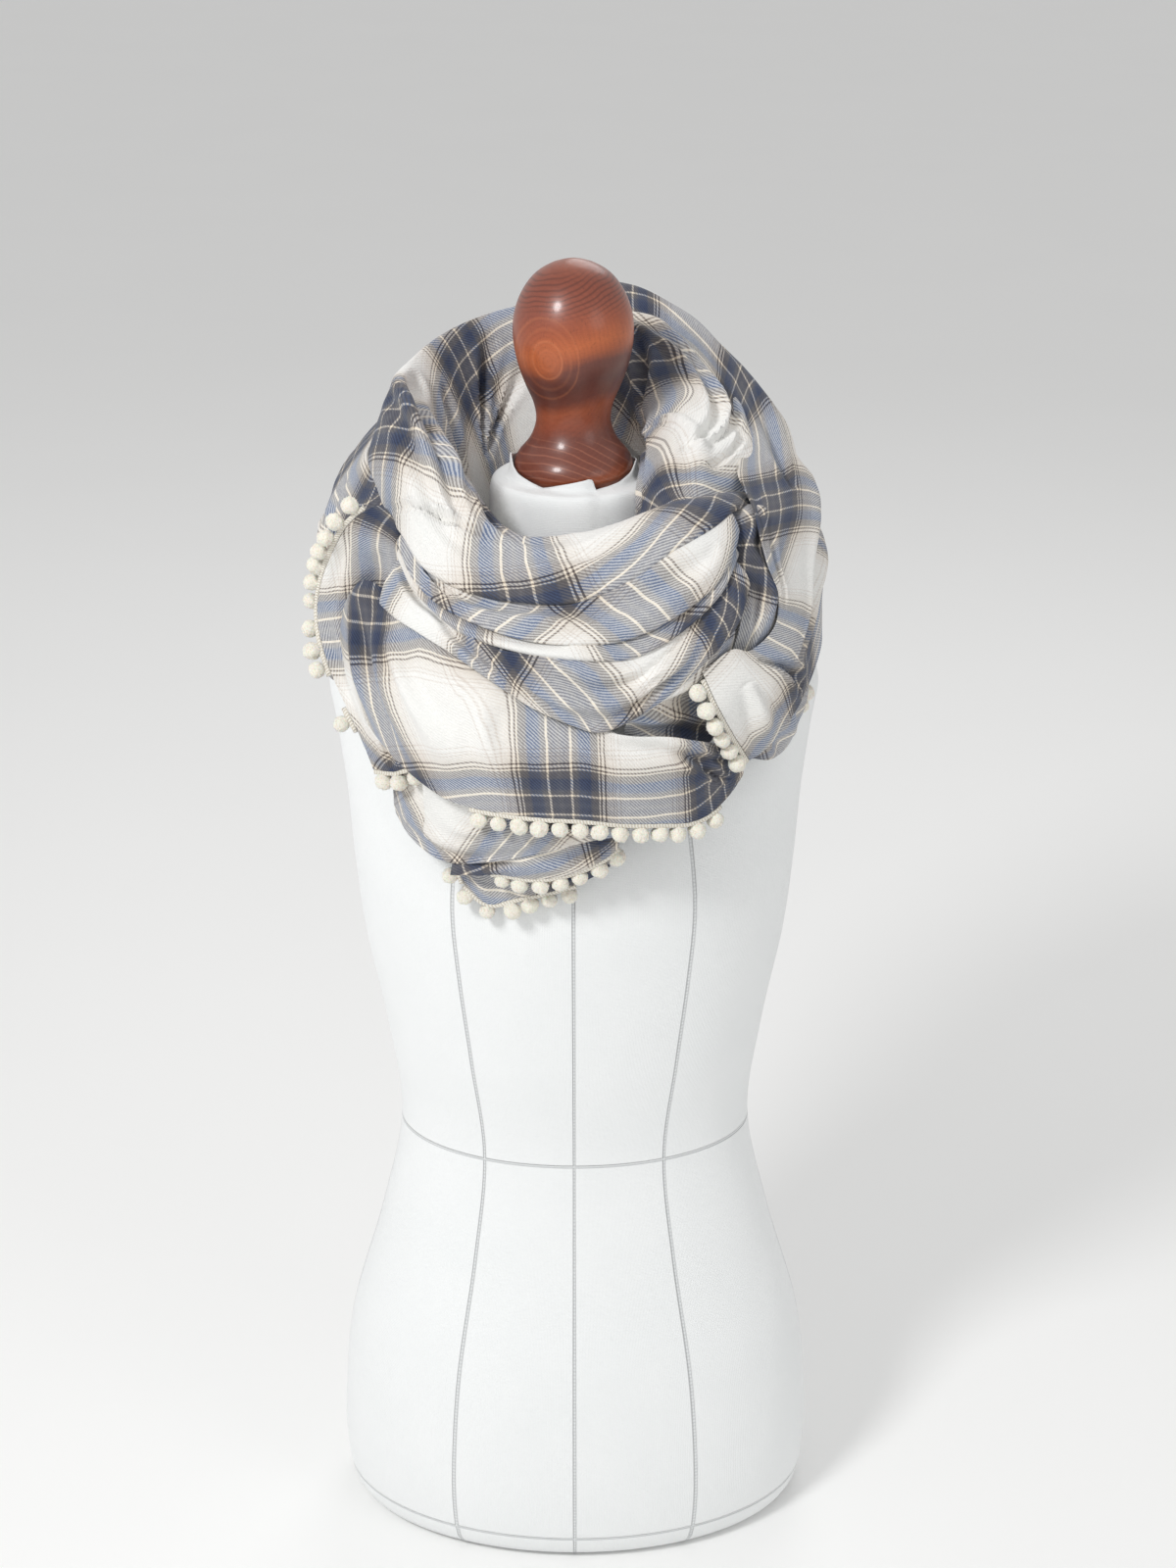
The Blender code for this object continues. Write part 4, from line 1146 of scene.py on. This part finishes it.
def pompomKinds():                                  # a few balls, each lumpy in its own way
    noise.seed_set(pompom["seed"])
    kinds = []
    for kind in range(pompom["kinds"]):
        bpy.ops.object.select_all(action="DESELECT")
        bpy.ops.mesh.primitive_ico_sphere_add(subdivisions=4, radius=pompom["diameter"] / 2 * mm)
        ball = bpy.context.object
        points, faces = [], [tuple(face.vertices) for face in ball.data.polygons]
        for vertex in ball.data.vertices:
            way = vertex.co.normalized()
            lump = noise.noise(way * 2.1 + Vector((kind * 7.0, 0, 0))) * pompom["lumps"] * 1.2
            lump += noise.noise(way * 7.5 + Vector((0, kind * 5.0, 0))) * pompom["lumps"] * 0.8
            lump += noise.noise(way * 17.0 + Vector((0, 0, kind * 3.0))) * pompom["lumps"] * 0.35
            squash = Vector((1.04, 0.97, 0.99 - 0.02 * kind))
            points.append(way * (pompom["diameter"] / 2 + lump) * mm * squash)
        for strand in range(pompom["fibres"]):      # short cut ends that stand out of the ball
            height = 1.0 - 2.0 * (strand + 0.5) / pompom["fibres"]
            turn = strand * 2.399963 + kind
            ring = math.sqrt(1.0 - height * height)
            way = Vector((ring * math.cos(turn), ring * math.sin(turn), height))
            lean = Vector(noise.noise_vector(way * 9.0 + Vector((kind, 0, 0)))) * 0.9
            root = way * (pompom["diameter"] / 2 - 0.25) * mm
            side = way.orthogonal().normalized() * 0.11 * mm
            other = way.cross(side).normalized() * 0.11 * mm
            tip = root + (way + lean * 0.5).normalized() * pompom["fibreLength"] * mm
            first = len(points)
            points += [root + side, root - side * 0.5 + other, root - side * 0.5 - other, tip]
            faces += [(first, first + 1, first + 3), (first + 1, first + 2, first + 3),
                      (first + 2, first, first + 3)]
        kinds.append((points, faces))
        bpy.data.objects.remove(ball)
    return kinds


def part(edge, start, end):                         # the stretch of an edge between two shares of it
    last = len(edge) - 1
    return edge[int(round(start * last)):int(round(end * last)) + 1]


def spacedPlaces(edge, pitch):
    marks = [0.0]
    for first, second in zip(edge, edge[1:]):
        marks.append(marks[-1] + np.linalg.norm(second[0] - first[0]) / mm)
    count = max(1, round(marks[-1] / pitch))
    places = []
    for step in range(count):
        mark = marks[-1] * (step + 0.5) / count
        index = min(max(sum(value <= mark for value in marks) - 1, 0), len(edge) - 2)
        share = (mark - marks[index]) / (marks[index + 1] - marks[index])
        places.append([a + (b - a) * share for a, b in zip(edge[index], edge[index + 1])])
    return places


def squareToEdge(edge):                             # turns each way out square to the edge's own run
    squared = []
    for index, (point, out, normal) in enumerate(edge):
        run = edge[min(index + 1, len(edge) - 1)][0] - edge[max(index - 1, 0)][0]
        run = run / np.linalg.norm(run)
        out = out - run * np.dot(out, run)
        squared.append((point, out / np.linalg.norm(out), normal))
    return squared


def sewTape(name, node, edge):
    points, faces, run = [], [], []
    length = 0.0
    rounds = pompom["tapeSides"]
    for index, (point, out, normal) in enumerate(edge):
        if index:
            length += np.linalg.norm(point - edge[index - 1][0]) / mm
        middle = point - normal * cloth["thickness"] / 2 * mm
        middle = middle + out * (pompom["tapeGap"] + pompom["tapeWidth"] / 2) * mm
        ripple = 1.0 + 0.10 * math.sin(length * 2.9)
        for k in range(rounds):
            turn = math.tau * k / rounds
            wide = math.copysign(abs(math.cos(turn)) ** 0.6, math.cos(turn)) * pompom["tapeWidth"] / 2
            thick = math.copysign(abs(math.sin(turn)) ** 0.6, math.sin(turn)) * pompom["tapeThickness"] / 2
            points.append(middle + (out * wide * ripple + normal * thick) * mm)
            run.append((length / pompom["tapeWidth"], k / rounds))
    for index in range(len(edge) - 1):
        for k in range(rounds):
            after = (k + 1) % rounds
            faces.append((index * rounds + k, index * rounds + after,
                          (index + 1) * rounds + after, (index + 1) * rounds + k))
    last = (len(edge) - 1) * rounds
    faces += [tuple(range(rounds))[::-1], tuple(range(last, last + rounds))]
    tape = addPiece(name + "Tape", points, faces, "tape", run, "run")
    selectOnly(tape)
    bpy.ops.object.mode_set(mode="EDIT")
    bpy.ops.mesh.select_all(action="SELECT")
    bpy.ops.mesh.normals_make_consistent(inside=False)
    bpy.ops.object.mode_set(mode="OBJECT")
    settle(tape, "tape", node)
    return tape


def sewPompoms(name, node, edge, kinds):
    balls, ballFaces = [], []
    reach = pompom["tapeGap"] + pompom["tapeWidth"] + pompom["diameter"] / 2 - pompom["sink"]
    for index, (point, out, normal) in enumerate(spacedPlaces(edge, pompom["pitch"])):
        centre = Vector(point - normal * cloth["solidWall"] / 2 * mm + out * reach * mm)
        shape, shapeFaces = kinds[(index + len(name)) % len(kinds)]
        turned = Matrix.Rotation(index * 2.1 + len(name), 3, Vector((0.3, 0.5, 0.8)).normalized())
        size = 1.0 + 0.05 * math.sin(index * 4.7 + len(name))
        first = len(balls)
        balls += [centre + turned @ co * size for co in shape]
        ballFaces += [tuple(first + corner for corner in face) for face in shapeFaces]
    row = addPiece(name + "Pompoms", balls, ballFaces, "pompom")
    settle(row, "pompom", node)
    print(name, len(ballFaces), "faces")
    return row


kinds = pompomKinds()
for name, node, edge, start, end in (
    ("trimLeft", "trim_left", footEdge(leftFold["grid"]), 0.06, 0.71),
    ("trimLeftLow", "trim_left", footEdge(leftFold["grid"]), 0.82, 0.90),
    ("trimLeftHem", "trim_left_hem", endEdge(leftFold["grid"], -1), 0.12, 1.0),
    ("trimCorner", "trim_corner", endEdge(outerWrap["grid"], 0), 0.06, 1.0),
    ("trimFrontHem", "trim_front_hem", footEdge(frontPanel["grid"]), 0.39, 0.93),
    ("trimTipOver", "trim_tip_over", footEdge(tipOver["grid"]), 0.25, 1.0),
    ("trimTipUnder", "trim_tip_under", footEdge(tipUnder["grid"]), 0.0, 0.76),
    ("trimTipSide", "trim_tip_under", endEdge(tipUnder["grid"], 0), 0.3, 0.92),
    ("trimTail", "trim_tail", endEdge(rightTail["grid"], -1), 0.5, 1.0),
):
    stretch = squareToEdge(part(edge, start, end))
    sewTape(name, node, stretch)
    sewPompoms(name, node, stretch, kinds)


# The dress form

form = {
    "sides": 96, "step": 9.0,
    "sections": (
        # height above the floor, half width, front depth, back depth
        (0, 160, 104, 98), (5, 168, 111, 105), (22, 174, 117, 110), (70, 176, 119, 112),
        (150, 168, 112, 106), (240, 143, 95, 90), (320, 127, 85, 82), (400, 136, 97, 88),
        (470, 149, 107, 95), (525, 155, 112, 100), (580, 159, 103, 102), (630, 165, 90, 98),
        (658, 169, 78, 90), (674, 162, 70, 82), (690, 138, 62, 72), (706, 104, 58, 64),
        (722, 74, 56, 58), (736, 59, 55, 55.5), (752, 55.5, 54, 54), (796, 55, 54, 53),
        (800, 52, 51, 50),
    ),
}


def smoothSections(table, step):
    knots = [np.array(row, float) for row in table]
    padded = [2 * knots[0] - knots[1]] + knots + [2 * knots[-1] - knots[-2]]
    made = []
    for index in range(1, len(knots)):
        near = padded[index - 1:index + 3]
        steps = max(1, round((near[2][0] - near[1][0]) / step))
        made += [smoothValue(*near, share / steps) for share in range(steps)]
    return made + [knots[-1]]


def ringOf(row, sides):
    height, halfWidth, front, back = row
    ring = []
    for k in range(sides):
        turn = math.tau * k / sides
        depth = front if math.cos(turn) > 0 else back
        offset = np.array([halfWidth * math.sin(turn), -depth * math.cos(turn), height])
        ring.append(Vector(offset * mm) + Vector((neckAxis[0], neckAxis[1], 0.0)))
    return ring


def raiseRings(name, rings, finish):                # extrudes a filled circle up through the rings
    sides = len(rings[0])
    bpy.ops.object.select_all(action="DESELECT")
    bpy.ops.mesh.primitive_circle_add(vertices=sides, radius=0.1, fill_type="NGON")
    made = bpy.context.object
    made.name = made.data.name = name
    bpy.ops.object.mode_set(mode="EDIT")
    shaped = bmesh.from_edit_mesh(made.data)
    shaped.verts.ensure_lookup_table()
    for vertex, place in zip(list(shaped.verts), rings[0]):
        vertex.co = place
    for ring in rings[1:]:
        bpy.ops.mesh.extrude_region_move(TRANSFORM_OT_translate={"value": (0, 0, 0.0001)})
        shaped = bmesh.from_edit_mesh(made.data)
        lifted = sorted((v for v in shaped.verts if v.select), key=lambda v: v.index)
        for vertex, place in zip(lifted, ring):
            vertex.co = place
        bmesh.update_edit_mesh(made.data)
    bpy.ops.mesh.select_all(action="SELECT")
    bpy.ops.mesh.normals_make_consistent(inside=False)
    bpy.ops.object.mode_set(mode="OBJECT")
    selectOnly(made)
    bpy.ops.object.shade_smooth_by_angle(angle=math.radians(50))
    made.data.materials.append(slots[finish][0])
    return made


torsoRings = [ringOf(row, form["sides"]) for row in smoothSections(form["sections"], form["step"])]
torso = raiseRings("formTorso", torsoRings, "jersey")
settle(torso, "jersey", "form_torso")
print("torso ready")

finial = {
    "sides": 96, "step": 2.0,
    "profile": (
        # height, radius
        (0, 33), (2, 36.5), (9, 40), (17, 37.5), (28, 29), (40, 25), (52, 26.5), (64, 31.5),
        (76, 36), (90, 39.2), (102, 40), (114, 38.6), (127, 33.5), (138, 25), (145, 13.5), (148, 2.5),
    ),
}
rings = []
for height, radius in smoothSections(finial["profile"], finial["step"]):
    angles = [360.0 * k / finial["sides"] for k in range(finial["sides"])]
    rings.append([Vector(around(a, radius, height + seatGap / mm)) for a in angles])
finialPiece = raiseRings("formFinial", rings, "wood")
settle(finialPiece, "wood", "form_finial")
print("finial ready")

# The neck's cover is gathered round the foot of the finial, its raw edge folded over.
neckCover = {
    "low": (56.5, -58), "high": (56.7, -10), "turn": (54.2, 1.0), "lip": (45.0, 3.4),
    # angle round the finial and the height that the edge reaches there
    "edge": ((-180, 8), (-130, 10), (-100, 15), (-84, 19), (-72, 12), (-62, 9.5), (-45, 7), (-28, 4.2),
             (-12, 7), (4, 9.5), (14, 11), (17.5, 10.4), (19.5, 6.5), (20.5, 3.6), (28, 4.4), (45, 6),
             (62, 9), (80, 14), (100, 12), (140, 8), (180, 8)),
    "folds": ((-58, 0.9), (-20, 0.7), (9, 0.8), (20, -1.0), (34, 0.6), (66, 0.9), (118, 0.8), (-122, 0.7)),
    "foldWidth": 6.0, "edgeRadius": 42.4, "thickness": 0.8, "marks": 44,
    "cut": (79, 350),
}


def edgeHeight(angle):
    angles, heights = zip(*neckCover["edge"])
    return float(np.interp(angle, angles, heights))


sections = []
for step in range(360):
    angle = -180.0 + step
    fold = 0.0
    for at, size in neckCover["folds"]:             # soft folds that run up the neck and lean over
        fold += size * math.exp(-((angle - at) / neckCover["foldWidth"]) ** 2)
    fold += 0.35 * noise.noise(Vector((angle / 22.0, 1.5, 0.0)))
    high = edgeHeight(angle)
    sections.append([
        around(angle + 2.0, *neckCover["low"]),
        around(angle, neckCover["high"][0] + max(0.3 * fold, -0.2), neckCover["high"][1]),
        around(angle, neckCover["turn"][0] + 0.5 * fold, neckCover["turn"][1] + 0.5 * fold),
        around(angle, neckCover["lip"][0] + 0.3 * fold, neckCover["lip"][1] + 0.5 * max(fold, -0.4)),
        around(angle, neckCover["edgeRadius"] + 0.3 * max(fold, 0.0), high),
    ])
marks = np.linspace(0.0, 1.0, neckCover["marks"])
grid = np.array([smoothLine(knots, marks) for knots in sections])
faces = quadFaces(*grid.shape[:2], closed=True)
cover = addPiece("neckCover", grid.reshape(-1, 3), faces, "jersey")
applyModifier(cover, "SOLIDIFY", thickness=neckCover["thickness"] * mm, offset=1.0,
              use_quality_normals=True)
settle(cover, "jersey")

# Goes through the stretches of the scarf and takes each name without its Cloth ending
for piece in (neckRoll, innerFold, secondRoll, thinRoll, vDrape, lowerDrape, outerWrap, backBand,
              rightFold, rightTail, leftFold, frontPanel, lowFold, tipOver, tipUnder):
    name = piece["name"].removesuffix("Cloth")


# Floor, light and camera

studio = {
    "floor": paint(247, 247, 246), "floorPale": paint(249, 249, 248), "skyLight": 0.60,
    "cameraSpot": (9.7, -1844.0, 541.0), "pitch": 22.5,
    "focalPixels": 2900.0, "frameHeight": 1600.0, "sensorHeight": 24.0,
}
bpy.ops.object.select_all(action="DESELECT")
bpy.ops.mesh.primitive_plane_add(size=60.0, location=(0, 0, -0.0005))
floor = bpy.context.object
floor.name = "studioFloor"
floorShade = Shade("studioFloor", Roughness=0.7, Specular_IOR_Level=0.2)
grain = floorShade.noise(floorShade.place(), 3.0)
floor.data.materials.append(floorShade.finish(
    floorShade.mix(grain, studio["floor"], studio["floorPale"])))

world = bpy.data.worlds.new("studioWorld")
world.use_nodes = True
sky = world.node_tree.nodes["Background"].inputs
sky["Color"].default_value = (1.0, 1.0, 1.0, 1.0)
sky["Strength"].default_value = studio["skyLight"]
bpy.context.scene.world = world
bpy.context.scene.view_settings.view_transform = "Standard"

lamps = (
    # name, place, aimed at, size, watts
    ("keyLight", (-1.2, -1.6, 2.3), (0, 0, 0.75), 0.6, 34),
    ("fillLight", (1.7, -1.5, 1.5), (0, 0, 0.75), 1.2, 4),
    ("backLight", (0.4, 1.8, 2.2), (0, 0, 0.8), 1.4, 9),
)
for name, spot, target, size, watts in lamps:
    data = bpy.data.lights.new(name, "AREA")
    data.energy, data.size, data.shape = watts, size, "DISK"
    lamp = bpy.data.objects.new(name, data)
    bpy.context.scene.collection.objects.link(lamp)
    lamp.location = spot
    lamp.rotation_euler = (Vector(target) - Vector(spot)).to_track_quat("-Z", "Y").to_euler()

cameraData = bpy.data.cameras.new("photoCamera")
cameraData.sensor_fit = "VERTICAL"
cameraData.sensor_height = studio["sensorHeight"]
cameraData.lens = studio["focalPixels"] / studio["frameHeight"] * studio["sensorHeight"]
cameraData.clip_end = 50.0
camera = bpy.data.objects.new("photoCamera", cameraData)
bpy.context.scene.collection.objects.link(camera)
camera.location = Vector(neckAxis) + Vector(studio["cameraSpot"]) * mm
camera.rotation_euler = (math.radians(90.0 - studio["pitch"]), 0.0, 0.0)
bpy.context.scene.camera = camera
print("studio ready")
